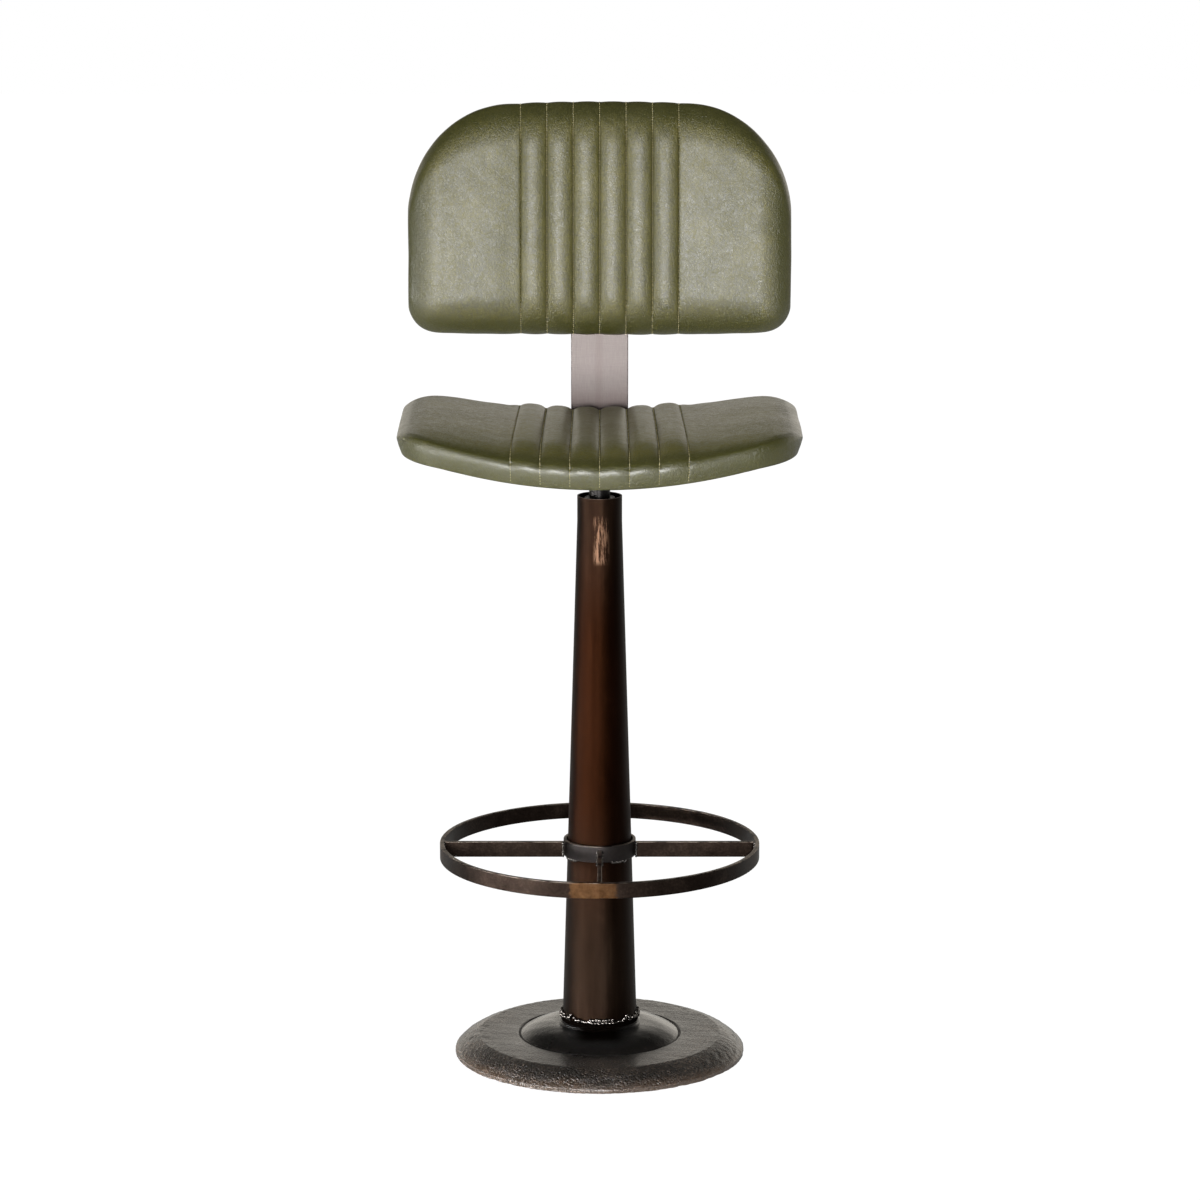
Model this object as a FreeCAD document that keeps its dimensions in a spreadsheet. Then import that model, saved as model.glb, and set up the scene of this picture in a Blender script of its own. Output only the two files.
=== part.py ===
import FreeCAD, Part
import Sketcher
import math
import os
import re

# Bar stool: cast base, tapered column, foot ring, turning seat and backrest.
# Millimetres. The origin is on the floor under the column, +Z is up and the front of the stool faces -Y.

SIZES = {
    # Cast base and the pad under it
    "base_radius": 175,
    "base_edge": 5,
    "base_slope_radius": 58,
    "crest_radius": 146,
    "crest_height": 24,
    "groove_radius": 97,
    "groove_width": 3,
    "groove_depth": 1.6,
    "hub_radius": 49,
    "lip_height": 41,
    "lip_thickness": 4,
    "hub_height": 48,
    "hub_top_radius": 47.5,
    "dome_radius": 78,
    "base_wall": 9,
    "hub_wall": 14.4,
    "hub_flare": 8,
    "rim_width": 9,
    "spigot_height": 6,
    "spigot_wall": 8,
    "pad_thickness": 4,
    "pad_proud": 1,
    # Column and the weld round its foot
    "column_length": 639,
    "column_foot_radius": 44.7,
    "column_neck_radius": 26.7,
    "column_neck_length": 30,
    "column_wall": 2,
    "weld_leg": 4.4,
    "weld_sweep": 72,
    "weld_reach": 60,
    # Foot ring, spokes and collar
    "foot_ring_radius": 192.5,
    "foot_ring_top": 263,
    "bar_height": 19,
    "bar_thickness": 5,
    "bar_edge": 0.8,
    "collar_radius": 43.5,
    "collar_wall": 3.5,
    "collar_height": 20,
    "collar_raise": 3.5,
    "collar_weld_leg": 3.6,
    "collar_weld_sweep": 26,
    # Turning joint in the top of the column
    "spindle_radius": 12.5,
    "running_clearance": 0.05,
    "fit_clearance": 0.1,
    "sleeve_drop": 12,
    "sleeve_length": 90,
    "bush_wall": 3.5,
    "bush_length": 20,
    "bush_flange_radius": 20,
    "bush_flange": 3,
    "thrust_washer": 2,
    "shoulder_radius": 18,
    "shoulder_height": 5,
    "ring_groove_depth": 0.9,
    "ring_thickness": 1.2,
    "ring_width": 3.6,
    "ring_gap": 5,
    "end_play": 0.3,
    "spindle_tail": 5,
    "spindle_chamfer": 1,
    # Seat plate and back strap
    "neck_gap": 27,
    "plate_width": 96,
    "plate_length": 150,
    "plate_thickness": 6,
    "plate_corner": 12,
    "spindle_weld_leg": 5,
    "spindle_weld_sweep": 70,
    "strap_width": 70,
    "strap_thickness": 6,
    "strap_front": 75,
    "strap_gap": 13,
    "strap_bend": 20,
    "strap_rise": 352,
    "strap_edge": 1,
    "recline": 4,
    # Fasteners
    "bolt_radius": 4,
    "bolt_head_radius": 7,
    "bolt_head_height": 4.4,
    "bolt_head_curve": 8.4,
    "socket_radius": 2.9,
    "socket_depth": 2.6,
    "bolt_hole_radius": 4.4,
    "drill_reach": 50,
    "bolt_washer_radius": 9,
    "bolt_washer": 1.6,
    "nut_barrel_radius": 5,
    "nut_flange_radius": 10,
    "nut_flange": 1.5,
    "nut_barrel_length": 9,
    "seat_bolt_across": 40,
    "seat_bolt_along": 110,
    "back_bolt_across": 36,
    "back_bolt_along": 110,
    "back_bolt_rise": 270,
    # Seat
    "seat_width": 475,
    "seat_depth": 380,
    "seat_front_bow": 650,
    "seat_rear_bow": 2400,
    "seat_front_corner": 62,
    "seat_front_corner_arc": 71.3,
    "seat_rear_corner": 64,
    "seat_rear_corner_arc": 70.4,
    "dish_radius": 820,
    "cover_thickness": 1,
    "seat_board": 12,
    "seat_foam": 31,
    "seat_fall": 3,
    "seat_side_fall": 17,
    "seat_front_roll": 84,
    "seat_rear_roll": 30,
    "seat_side_roll": 36,
    "seat_nose": 23.5,
    "seat_side_nose": 6.3,
    "seat_side_raise": 0,
    "seat_channel_front": 34.4,
    "seat_channel_rear": 32.1,
    # Backrest
    "back_width": 467,
    "back_height": 286,
    "back_rise": 122,
    "back_top_corner": 122,
    "back_top_corner_arc": 128.1,
    "back_bottom_corner": 32,
    "back_bottom_corner_arc": 35.2,
    "back_top_bow": 2400,
    "back_bottom_bow": 6500,
    "back_bend": 3000,
    "back_cover": 3,
    "back_board": 12,
    "back_foam": 28,
    "back_side_fall": 4,
    "back_end_roll": 54,
    "back_side_roll": 40,
    "back_nose": 15,
    "back_side_nose": 6.75,
    "back_side_raise": 7.5,
    "back_channel": 32,
    # Common to both cushions
    "cushion_margin": 9,
    "cushion_clearance": 0.3,
    "cushion_tuck": 7,
    "edge_thickness": 9,
    "side_lip": 0.6,
    "crown": 1.5,
    "channel_depth": 5,
    "panel_drop": 2.5,
    "panel_rise": 22.4,
    "channel_count": 6,
    "seam_pull": 1.6,
    "station_gap": 14,
}

# Places that follow from the sizes above
PLACES = {
    "column_top": "hub_height + column_length",
    "column_slope": "(column_foot_radius - column_neck_radius) / (column_length - column_neck_length)",
    "neck_bore": "column_neck_radius - column_wall",
    "foot_ring_bottom": "foot_ring_top - bar_height",
    "foot_ring_bore": "foot_ring_radius - bar_thickness",
    "collar_bottom": "foot_ring_bottom + collar_raise",
    "sleeve_top": "column_top - sleeve_drop",
    "sleeve_bottom": "sleeve_top - sleeve_length",
    "sleeve_bore": "spindle_radius + running_clearance + bush_wall",
    "washer_bottom": "sleeve_top + bush_flange",
    "shoulder_bottom": "washer_bottom + thrust_washer + running_clearance",
    "ring_top": "sleeve_bottom - bush_flange - end_play",
    "ring_bottom": "ring_top - ring_thickness",
    "plate_bottom": "column_top + neck_gap",
    "strap_bottom": "plate_bottom + plate_thickness",
    "strap_top": "strap_bottom + strap_thickness",
    "board_bottom": "strap_top + cover_thickness",
    "board_top": "board_bottom + seat_board",
    "pocket_margin": "cushion_margin - cushion_clearance",
    "strap_setback": "seat_depth / 2 + strap_gap",
    "bend_run": "strap_bend / tan((90 + recline) / 2 * 1 deg)",
    "lean_sin": "sin(recline * 1 deg)",
    "lean_cos": "cos(recline * 1 deg)",
}

# Tolerance for telling edges apart
FINE = 1e-6

# Weld drops as shares of the leg: the mean size and its change, and the turn between two drops in radians
DROP_SIZE = 0.8
DROP_CHANGE = 0.12
DROP_TURN = 2.4

# Bulge of a cushion section's tuck, and its height below the nose, as shares
TUCK_BULGE = 0.12
TUCK_HEIGHT = 0.4

# Sections of a side panel: the first one in the rise from the seam, and those on the side roll
RISE_SHARE = 0.4
ROLL_SHARES = (0.3, 0.55, 0.76, 0.9, 1.0)

doc = FreeCAD.newDocument("BarStool")


def make_sheet():
    sheet = doc.addObject("Spreadsheet::Sheet", "Sizes")
    for row, (alias, number) in enumerate(SIZES.items(), 1):
        sheet.set(f"A{row}", alias)
        sheet.set(f"B{row}", str(number))
        sheet.setAlias(f"B{row}", alias)
    doc.recompute()
    return sheet


sizes = make_sheet()


def formula(text):
    """Turn words of SIZES and PLACES into an expression on the sheet."""

    def replace(match):
        word = match.group(0)
        if word in PLACES:
            return "(" + formula(PLACES[word]) + ")"
        return "Sizes." + word if word in SIZES else word

    return re.sub(r"[a-z_]+", replace, str(text))


def value(text):
    """Number that a formula gives with the sheet's present values."""
    result = sizes.evalExpression(formula(text))
    return float(getattr(result, "Value", result))


def bind(thing, prop, text):
    thing.setExpression(prop, formula(text))


def column_radius(height):
    """Outside radius of the taper at a height, as a formula."""
    return f"(column_foot_radius - ({height} - hub_height) * column_slope)"


def dish(half_width, radius="dish_radius"):
    """Rise of a bent sheet of the given outer radius at a distance from its middle, as a formula."""
    return f"({radius} - sqrt(({radius}) ^ 2 - ({half_width}) ^ 2))"


# Sketches: each corner's place, each arc's radius and each circle is bound to the sheet


def origin_plane(body, role):
    return next(feature for feature in body.Origin.OriginFeatures if feature.Role == role)


def arc_middle(start, end, radius, side):
    """Middle of the arc from start to end that bulges to the left (side 1) or right (side -1)."""
    chord = end - start
    half = chord.Length / 2
    rise = radius - math.sqrt(max(radius**2 - half**2, 0))
    left = FreeCAD.Vector(-chord.y, chord.x, 0).normalize()
    return (start + end) * 0.5 + left * (side * rise)


def draw_outline(sketch, corners):
    """Closed outline. A corner is (x, y), or (x, y, radius, side) where an arc arrives at it."""
    points = [FreeCAD.Vector(value(corner[0]), value(corner[1]), 0) for corner in corners]
    first = sketch.GeometryCount
    for index, corner in enumerate(corners):
        start, end = points[index - 1], points[index]
        if len(corner) == 4:
            middle = arc_middle(start, end, value(corner[2]), corner[3])
            sketch.addGeometry(Part.Arc(start, middle, end), False)
        else:
            sketch.addGeometry(Part.LineSegment(start, end), False)
    ends = [tip_of(sketch, first + index, points[index]) for index in range(len(corners))]
    for index, corner in enumerate(corners):
        following = first + (index + 1) % len(corners)
        next_start = 3 - tip_of(sketch, following, points[(index + 1) % len(corners)])
        joined = Sketcher.Constraint("Coincident", first + index, ends[index], following, next_start)
        sketch.addConstraint(joined)
        fix_point(sketch, first + index, ends[index], corner, points[index])
        if len(corner) == 4:
            limit = Sketcher.Constraint("Radius", first + index, value(corner[2]))
            bind(sketch, f"Constraints[{sketch.addConstraint(limit)}]", corner[2])


def fix_point(sketch, geometry, tip, texts, place):
    """Bind the X and Y of a point of the geometry to the first two texts."""
    for kind, text, number in (("DistanceX", texts[0], place.x), ("DistanceY", texts[1], place.y)):
        limit = Sketcher.Constraint(kind, -1, 1, geometry, tip, number)
        bind(sketch, f"Constraints[{sketch.addConstraint(limit)}]", text)


def tip_of(sketch, geometry, point):
    """Which end of a line or arc, 1 or 2, lies at the point."""
    near_start = (sketch.getPoint(geometry, 1) - point).Length
    near_end = (sketch.getPoint(geometry, 2) - point).Length
    return 1 if near_start < near_end else 2


def draw_circles(sketch, radius, centres):
    for x, y in centres:
        place = FreeCAD.Vector(value(x), value(y), 0)
        circle = sketch.addGeometry(Part.Circle(place, FreeCAD.Vector(0, 0, 1), value(radius)), False)
        fix_point(sketch, circle, 3, (x, y), place)
        limit = Sketcher.Constraint("Radius", circle, value(radius))
        bind(sketch, f"Constraints[{sketch.addConstraint(limit)}]", radius)


def make_body(name):
    body = doc.addObject("PartDesign::Body", name)
    body.Label = name
    return body


def body_sketch(body, suffix, role, outlines=(), circles=(), height="0"):
    sketch = body.newObject("Sketcher::SketchObject", f"{body.Name}_{suffix}")
    sketch.AttachmentSupport = [(origin_plane(body, role), "")]
    sketch.MapMode = "FlatFace"
    bind(sketch, "AttachmentOffset.Base.z", height)
    for corners in outlines:
        draw_outline(sketch, corners)
    for radius, centres in circles:
        draw_circles(sketch, radius, centres)
    return sketch


def revolved(name, corners):
    """Body turned about the column's axis from (radius, height) corners."""
    body = make_body(name)
    sketch = body_sketch(body, "profile", "XZ_Plane", [corners])
    turn = body.newObject("PartDesign::Revolution", f"{name}_turn")
    turn.Profile = sketch
    turn.ReferenceAxis = (sketch, ["V_Axis"])
    turn.Angle = 360
    doc.recompute()
    return body


def padded(name, role, length, outlines, circles=(), height="0", middle=False):
    body = make_body(name)
    sketch = body_sketch(body, "outline", role, outlines, circles, height)
    pad = body.newObject("PartDesign::Pad", f"{name}_pad")
    pad.Profile = sketch
    pad.Midplane = middle
    bind(pad, "Length", length)
    doc.recompute()
    return body


def rounded(body, radius, chosen):
    """Fillet the edges of the body's tip that the chosen test accepts."""
    tip = body.Tip
    names = [f"Edge{n}" for n, edge in enumerate(tip.Shape.Edges, 1) if chosen(edge)]
    fillet = body.newObject("PartDesign::Fillet", f"{body.Name}_edges")
    fillet.Base = (tip, names)
    bind(fillet, "Radius", radius)
    doc.recompute()
    return body


def every_edge(edge):
    return True


def ring_corners(inner, outer, bottom, top):
    return [(inner, bottom), (outer, bottom), (outer, top), (inner, top)]


def oblong(half_x, half_y, middle_y="0"):
    low, high = f"({middle_y}) - ({half_y})", f"({middle_y}) + ({half_y})"
    return [(f"-({half_x})", low), (half_x, low), (half_x, high), (f"-({half_x})", high)]


def four_spots(across, along, middle="0"):
    """Corners of a rectangle of bolts, as pairs of formulas."""
    return [
        (f"{side} * {across} / 2", f"{middle} + {end} * {along} / 2")
        for side in (-1, 1)
        for end in (-1, 1)
    ]


SEAT_SPOTS = four_spots("seat_bolt_across", "seat_bolt_along")
BACK_SPOTS = four_spots("back_bolt_across", "back_bolt_along", "back_bolt_rise")


def lean(thing):
    """Place a piece of the backrest: its own +Z runs up the strap and its own -Y faces the sitter."""
    bind(thing, "Placement.Base.y", "strap_setback")
    bind(thing, "Placement.Base.z", "strap_top")
    thing.Placement.Rotation = FreeCAD.Rotation(FreeCAD.Vector(-1, 0, 0), value("recline"))
    bind(thing, "Placement.Rotation.Angle", "recline * 1 deg")


# Stand


def make_base():
    under_hub = "lip_height - lip_thickness - hub_wall"
    spigot = column_radius("hub_height + spigot_height") + " - column_wall - fit_clearance"
    bore = f"{spigot} - spigot_wall"
    ledge = "pad_thickness"
    pad_edge = "base_radius - rim_width"
    corners = [
        (bore, "hub_height + spigot_height"),
        (bore, under_hub),
        ("hub_radius + hub_flare", under_hub),
        ("groove_radius", "crest_height - base_wall - groove_depth"),
        ("crest_radius", "crest_height - base_wall"),
        (pad_edge + " - rim_width", ledge),
        (pad_edge, ledge),
        (pad_edge, "pad_proud"),
        ("base_radius", "pad_proud"),
        ("base_radius", "pad_proud + base_edge"),
        ("crest_radius", "crest_height", "base_slope_radius", -1),
        ("groove_radius + groove_width / 2", "crest_height"),
        ("groove_radius", "crest_height - groove_depth"),
        ("groove_radius - groove_width / 2", "crest_height"),
        ("hub_radius", "lip_height - lip_thickness", "dome_radius", -1),
        ("hub_radius", "lip_height"),
        ("hub_top_radius", "hub_height"),
        (spigot, "hub_height"),
        (spigot, "hub_height + spigot_height"),
    ]
    return revolved("base_casting", corners)


def make_floor_pad():
    edge = "base_radius - rim_width - fit_clearance"
    return revolved("floor_pad", [("0", "0"), (edge, "0"), (edge, "pad_thickness"), ("0", "pad_thickness")])


def make_column():
    neck_start = "column_top - column_neck_length"
    corners = [
        ("column_foot_radius", "hub_height"),
        ("column_neck_radius", neck_start),
        ("column_neck_radius", "column_top"),
        ("neck_bore", "column_top"),
        ("neck_bore", neck_start),
        ("column_foot_radius - column_wall", "hub_height"),
    ]
    return revolved("column_tube", corners)


def bead(radius, height, leg, sweep, away):
    """Weld bead about +X: a row of overlapping drops along an arc, cut clear of the solids it joins."""
    count = max(3, round(math.radians(sweep) * radius / leg) + 1)
    drops = []
    for index in range(count):
        angle = math.radians(sweep * (index / (count - 1) - 0.5))
        size = leg * (DROP_SIZE + DROP_CHANGE * math.sin(DROP_TURN * index))
        centre = FreeCAD.Vector(radius * math.cos(angle), radius * math.sin(angle), height)
        drops.append(Part.makeSphere(size, centre))
    return drops[0].fuse(drops[1:]).cut(away)


def taper_solid(bottom, top):
    """Solid that fills the column's outside between two heights."""
    low, high = value(column_radius(bottom)), value(column_radius(top))
    return Part.makeCone(low, high, value(top) - value(bottom), FreeCAD.Vector(0, 0, value(bottom)))


def bead_set(name, radius, height, leg, angles, sweep, away):
    solid = bead(radius, height, leg, sweep, away).Solids[0]
    middle, axis = FreeCAD.Vector(0, 0, 0), FreeCAD.Vector(0, 0, 1)
    group = doc.addObject("Part::Feature", name)
    group.Label = name
    group.Shape = Part.makeCompound([solid.rotated(middle, axis, angle) for angle in angles])
    return group


def make_foot_weld():
    """Four beads on the hub round the foot of the column."""
    leg = value("weld_leg")
    reach = value("weld_reach")
    height = value("hub_height")
    radius = value(column_radius("hub_height"))
    below = Part.makeCylinder(radius + reach, reach, FreeCAD.Vector(0, 0, height - reach))
    away = [taper_solid("hub_height", "hub_height + weld_reach"), below]
    angles = (270, 0, 90, 180)
    middle = height + 0.3 * leg
    return bead_set("foot_weld", radius + 0.25 * leg, middle, leg, angles, value("weld_sweep"), away)


def make_collar_weld():
    """Four short beads that carry the collar from below."""
    leg = value("collar_weld_leg")
    reach = value("weld_reach")
    bottom = value("collar_bottom")
    radius = value(column_radius("collar_bottom")) + 0.55 * leg
    above = Part.makeCylinder(radius + reach, reach, FreeCAD.Vector(0, 0, bottom))
    away = [taper_solid("collar_bottom - weld_reach", "collar_bottom + weld_reach"), above]
    angles = (305, 35, 125, 215)
    middle = bottom - 0.1 * leg
    return bead_set("collar_weld", radius, middle, leg, angles, value("collar_weld_sweep"), away)


def make_foot_ring():
    corners = ring_corners("foot_ring_bore", "foot_ring_radius", "foot_ring_bottom", "foot_ring_top")
    return rounded(revolved("foot_ring", corners), "bar_edge", every_edge)


def make_collar():
    inner = "collar_radius - collar_wall"
    top = "collar_bottom + collar_height"
    corners = ring_corners(inner, "collar_radius", "collar_bottom", top)
    return rounded(revolved("collar", corners), "bar_edge", every_edge)


def make_spoke(name, angle):
    """Flat bar on edge from the collar to the foot ring."""
    half = "bar_thickness / 2"
    far = f"sqrt(foot_ring_bore ^ 2 - ({half}) ^ 2)"
    corners = [("collar_radius", f"-{half}"), (far, f"-{half}"), (far, half), ("collar_radius", half)]
    spoke = padded(name, "XY_Plane", "bar_height", [corners], height="foot_ring_bottom")
    long_enough = value("foot_ring_bore") / 2
    rounded(spoke, "bar_edge", lambda edge: edge.Length > long_enough)
    spoke.Placement = FreeCAD.Placement(FreeCAD.Vector(), FreeCAD.Rotation(FreeCAD.Vector(0, 0, 1), angle))
    return spoke


# Turning joint


def make_sleeve():
    outer = "neck_bore - fit_clearance"
    inner = "sleeve_bore"
    return revolved("bearing_sleeve", ring_corners(inner, outer, "sleeve_bottom", "sleeve_top"))


def make_bush(name, flange_face, direction):
    """Flanged bush in one mouth of the sleeve. The flange stands out in the given direction."""
    inner = "spindle_radius + running_clearance"
    outer = "sleeve_bore - fit_clearance / 2"
    out = f"{flange_face} + {direction} * bush_flange"
    back = f"{flange_face} - {direction} * bush_length"
    corners = [
        (inner, back),
        (outer, back),
        (outer, flange_face),
        ("bush_flange_radius", flange_face),
        ("bush_flange_radius", out),
        (inner, out),
    ]
    return revolved(name, corners)


def make_thrust_washer():
    inner = "spindle_radius + running_clearance"
    top = "washer_bottom + thrust_washer"
    return revolved("thrust_washer", ring_corners(inner, "bush_flange_radius", "washer_bottom", top))


def make_spindle():
    groove = "spindle_radius - ring_groove_depth"
    low = "ring_bottom - spindle_tail"
    corners = [
        ("0", low),
        ("spindle_radius - spindle_chamfer", low),
        ("spindle_radius", f"{low} + spindle_chamfer"),
        ("spindle_radius", "ring_bottom - running_clearance"),
        (groove, "ring_bottom - running_clearance"),
        (groove, "ring_top + running_clearance"),
        ("spindle_radius", "ring_top + running_clearance"),
        ("spindle_radius", "shoulder_bottom"),
        ("shoulder_radius", "shoulder_bottom"),
        ("shoulder_radius", "shoulder_bottom + shoulder_height"),
        ("spindle_radius", "shoulder_bottom + shoulder_height"),
        ("spindle_radius", "strap_bottom"),
        ("0", "strap_bottom"),
    ]
    return revolved("spindle", corners)


def make_retaining_ring():
    """Open spring ring in the spindle's groove."""
    inner = "spindle_radius - ring_groove_depth + running_clearance"
    outer = "spindle_radius + ring_width"
    ring = make_body("retaining_ring")
    circles = [(inner, [("0", "0")]), (outer, [("0", "0")])]
    sketch = body_sketch(ring, "outline", "XY_Plane", circles=circles, height="ring_bottom")
    pad = ring.newObject("PartDesign::Pad", "retaining_ring_pad")
    pad.Profile = sketch
    bind(pad, "Length", "ring_thickness")
    doc.recompute()
    slot = oblong("ring_gap / 2", "spindle_radius", "2 * spindle_radius")
    gap = body_sketch(ring, "gap", "XY_Plane", [slot], height="ring_bottom")
    pocket = ring.newObject("PartDesign::Pocket", "retaining_ring_gap")
    pocket.Profile = gap
    pocket.Type = "ThroughAll"
    pocket.Midplane = True
    doc.recompute()
    return ring


# Seat plate, strap and fasteners


def make_seat_plate():
    corners = oblong("plate_width / 2", "plate_length / 2")
    holes = [("spindle_radius + fit_clearance", [("0", "0")]), ("bolt_hole_radius", SEAT_SPOTS)]
    plate = padded("seat_plate", "XY_Plane", "plate_thickness", [corners], holes, "plate_bottom")
    outer = value("plate_width") / 2 - FINE

    def is_outer_corner(edge):
        upright = abs(edge.tangentAt(edge.FirstParameter).z) > 1 - FINE
        return upright and isinstance(edge.Curve, Part.Line) and abs(edge.Vertexes[0].X) > outer

    return rounded(plate, "plate_corner", is_outer_corner)


def make_spindle_weld():
    """Four beads on the spindle under the seat plate."""
    leg = value("spindle_weld_leg")
    reach = value("weld_reach")
    bottom = value("plate_bottom")
    radius = value("spindle_radius")
    above = Part.makeCylinder(radius + reach, reach, FreeCAD.Vector(0, 0, bottom))
    shaft = Part.makeCylinder(radius, 2 * reach, FreeCAD.Vector(0, 0, bottom - reach))
    angles = (0, 90, 180, 270)
    middle = bottom - 0.2 * leg
    sweep = value("spindle_weld_sweep")
    return bead_set("spindle_weld", radius + 0.25 * leg, middle, leg, angles, sweep, [above, shaft])


def make_strap():
    """Flat bar that runs back under the seat, bends up and carries the backrest."""
    thick = "strap_thickness"
    bend_start = "strap_setback - bend_run"
    corner_y = "strap_setback + bend_run * lean_sin"
    corner_z = "strap_top + bend_run * lean_cos"
    tip_y = "strap_setback + strap_rise * lean_sin"
    tip_z = "strap_top + strap_rise * lean_cos"
    corners = [
        ("-strap_front", "strap_top"),
        ("-strap_front", "strap_bottom"),
        (bend_start, "strap_bottom"),
        (f"{corner_y} + {thick} * lean_cos", f"{corner_z} - {thick} * lean_sin", f"strap_bend + {thick}", -1),
        (f"{tip_y} + {thick} * lean_cos", f"{tip_z} - {thick} * lean_sin"),
        (tip_y, tip_z),
        (corner_y, corner_z),
        (bend_start, "strap_top", "strap_bend", 1),
    ]
    strap = padded("back_strap_bar", "YZ_Plane", "strap_width", [corners], middle=True)
    side = value("strap_width") / 2 - FINE

    def is_long_edge(edge):
        first, last = edge.Vertexes[0].X, edge.Vertexes[-1].X
        return abs(first) > side and abs(last - first) < FINE

    rounded(strap, "strap_edge", is_long_edge)
    return drilled("back_strap", drilled("back_strap_blank", strap, "seat"), "back", leaning=True)


def hole_tools(name, group):
    """Cylinders through one group of four bolt places, those of the backrest in the strap's own frame."""
    seat = group == "seat"
    tools = []
    for index, (across, along) in enumerate(SEAT_SPOTS if seat else BACK_SPOTS):
        tool = doc.addObject("Part::Cylinder", f"{name}_hole_{index}")
        bind(tool, "Radius", "bolt_hole_radius")
        bind(tool, "Height", "2 * drill_reach")
        bind(tool, "Placement.Base.x", across)
        if seat:
            bind(tool, "Placement.Base.y", along)
            bind(tool, "Placement.Base.z", "strap_top - drill_reach")
        else:
            tool.Placement.Rotation = FreeCAD.Rotation(FreeCAD.Vector(1, 0, 0), 90)
            bind(tool, "Placement.Base.y", "drill_reach")
            bind(tool, "Placement.Base.z", along)
        tools.append(tool)
    compound = doc.addObject("Part::Compound", f"{name}_holes")
    compound.Links = tools
    return compound


def drilled(name, blank, group, leaning=False):
    """Drill one group of bolt holes. A leaning blank is already in its place on the backrest."""
    holes = hole_tools(name, group)
    if leaning:
        lean(holes)
    return cut_out(name, blank, holes)


def cut_out(name, blank, tool):
    cut = doc.addObject("Part::Cut", name)
    cut.Base = blank
    cut.Tool = tool
    cut.Label = name
    doc.recompute()
    return cut


def turned_set(name, corners, spots, place, socket=None):
    """Group of four equal turned fasteners. Corners are (radius, height) from the seating face."""
    profile = doc.addObject("Sketcher::SketchObject", f"{name}_profile")
    profile.Placement.Rotation = FreeCAD.Rotation(FreeCAD.Vector(1, 0, 0), 90)
    draw_outline(profile, corners)
    members = []
    for index, spot in enumerate(spots):
        turn = doc.addObject("Part::Revolution", f"{name}_turn_{index}")
        turn.Source = profile
        turn.Axis = FreeCAD.Vector(0, 0, 1)
        turn.Angle = 360
        turn.Solid = True
        member = socketed(turn, socket) if socket else turn
        place(member, spot)
        members.append(member)
    group = doc.addObject("Part::Compound", name)
    group.Label = name
    group.Links = members
    return group


def socketed(turn, bottom):
    """Cut a six-sided socket into the head."""
    prism = doc.addObject("Part::Prism", f"{turn.Name}_socket")
    prism.Polygon = 6
    bind(prism, "Circumradius", "socket_radius")
    bind(prism, "Height", "socket_depth")
    bind(prism, "Placement.Base.z", bottom)
    return cut_out(f"{turn.Name}_cut", turn, prism)


def seat_place(height):
    """Placer for fasteners whose own +Z points up into the seat."""

    def place(member, spot):
        bind(member, "Placement.Base.x", spot[0])
        bind(member, "Placement.Base.y", spot[1])
        bind(member, "Placement.Base.z", height)

    return place


def back_place(depth):
    """Placer for fasteners whose own +Z points forward into the backrest."""

    def place(member, spot):
        member.Placement.Rotation = FreeCAD.Rotation(FreeCAD.Vector(1, 0, 0), 90)
        bind(member, "Placement.Base.x", spot[0])
        bind(member, "Placement.Base.y", depth)
        bind(member, "Placement.Base.z", spot[1])

    return place


def bolt_corners(grip):
    """Button head below height 0 and a shank that reaches up through the grip."""
    return [
        ("0", "-bolt_head_height"),
        ("bolt_head_radius / 2", "-bolt_head_height"),
        ("bolt_head_radius", "0", "bolt_head_curve", 1),
        ("bolt_radius", "0"),
        ("bolt_radius", grip),
        ("0", grip),
    ]


def nut_corners():
    """Barrel from height 0 up to the flange."""
    bore = "bolt_radius + running_clearance"
    return [
        (bore, "0"),
        ("nut_barrel_radius", "0"),
        ("nut_barrel_radius", "nut_barrel_length"),
        ("nut_flange_radius", "nut_barrel_length"),
        ("nut_flange_radius", "nut_barrel_length + nut_flange"),
        (bore, "nut_barrel_length + nut_flange"),
    ]


def make_fasteners():
    washer = ring_corners("bolt_radius + fit_clearance", "bolt_washer_radius", "0", "bolt_washer")
    seat_grip = "bolt_washer + plate_thickness + strap_thickness + cover_thickness + seat_board - nut_flange"
    back_grip = "bolt_washer + strap_thickness + back_cover + back_board - nut_flange"
    seat_face = "plate_bottom - bolt_washer"
    back_face = "strap_thickness + bolt_washer"
    seat_nut = "board_top - nut_flange - nut_barrel_length"
    back_nut = "nut_flange + nut_barrel_length - back_cover - back_board"
    head = "-bolt_head_height"
    groups = [
        turned_set("seat_bolts", bolt_corners(seat_grip), SEAT_SPOTS, seat_place(seat_face), head),
        turned_set("seat_washers", washer, SEAT_SPOTS, seat_place(seat_face)),
        turned_set("seat_t_nuts", nut_corners(), SEAT_SPOTS, seat_place(seat_nut)),
        turned_set("back_bolts", bolt_corners(back_grip), BACK_SPOTS, back_place(back_face), head),
        turned_set("back_washers", washer, BACK_SPOTS, back_place(back_face)),
        turned_set("back_t_nuts", nut_corners(), BACK_SPOTS, back_place(back_nut)),
    ]
    for group in groups[3:]:
        lean(group)
    return groups


# Boards and covers: a plan outline and a bent band, both extruded, and what they share


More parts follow.
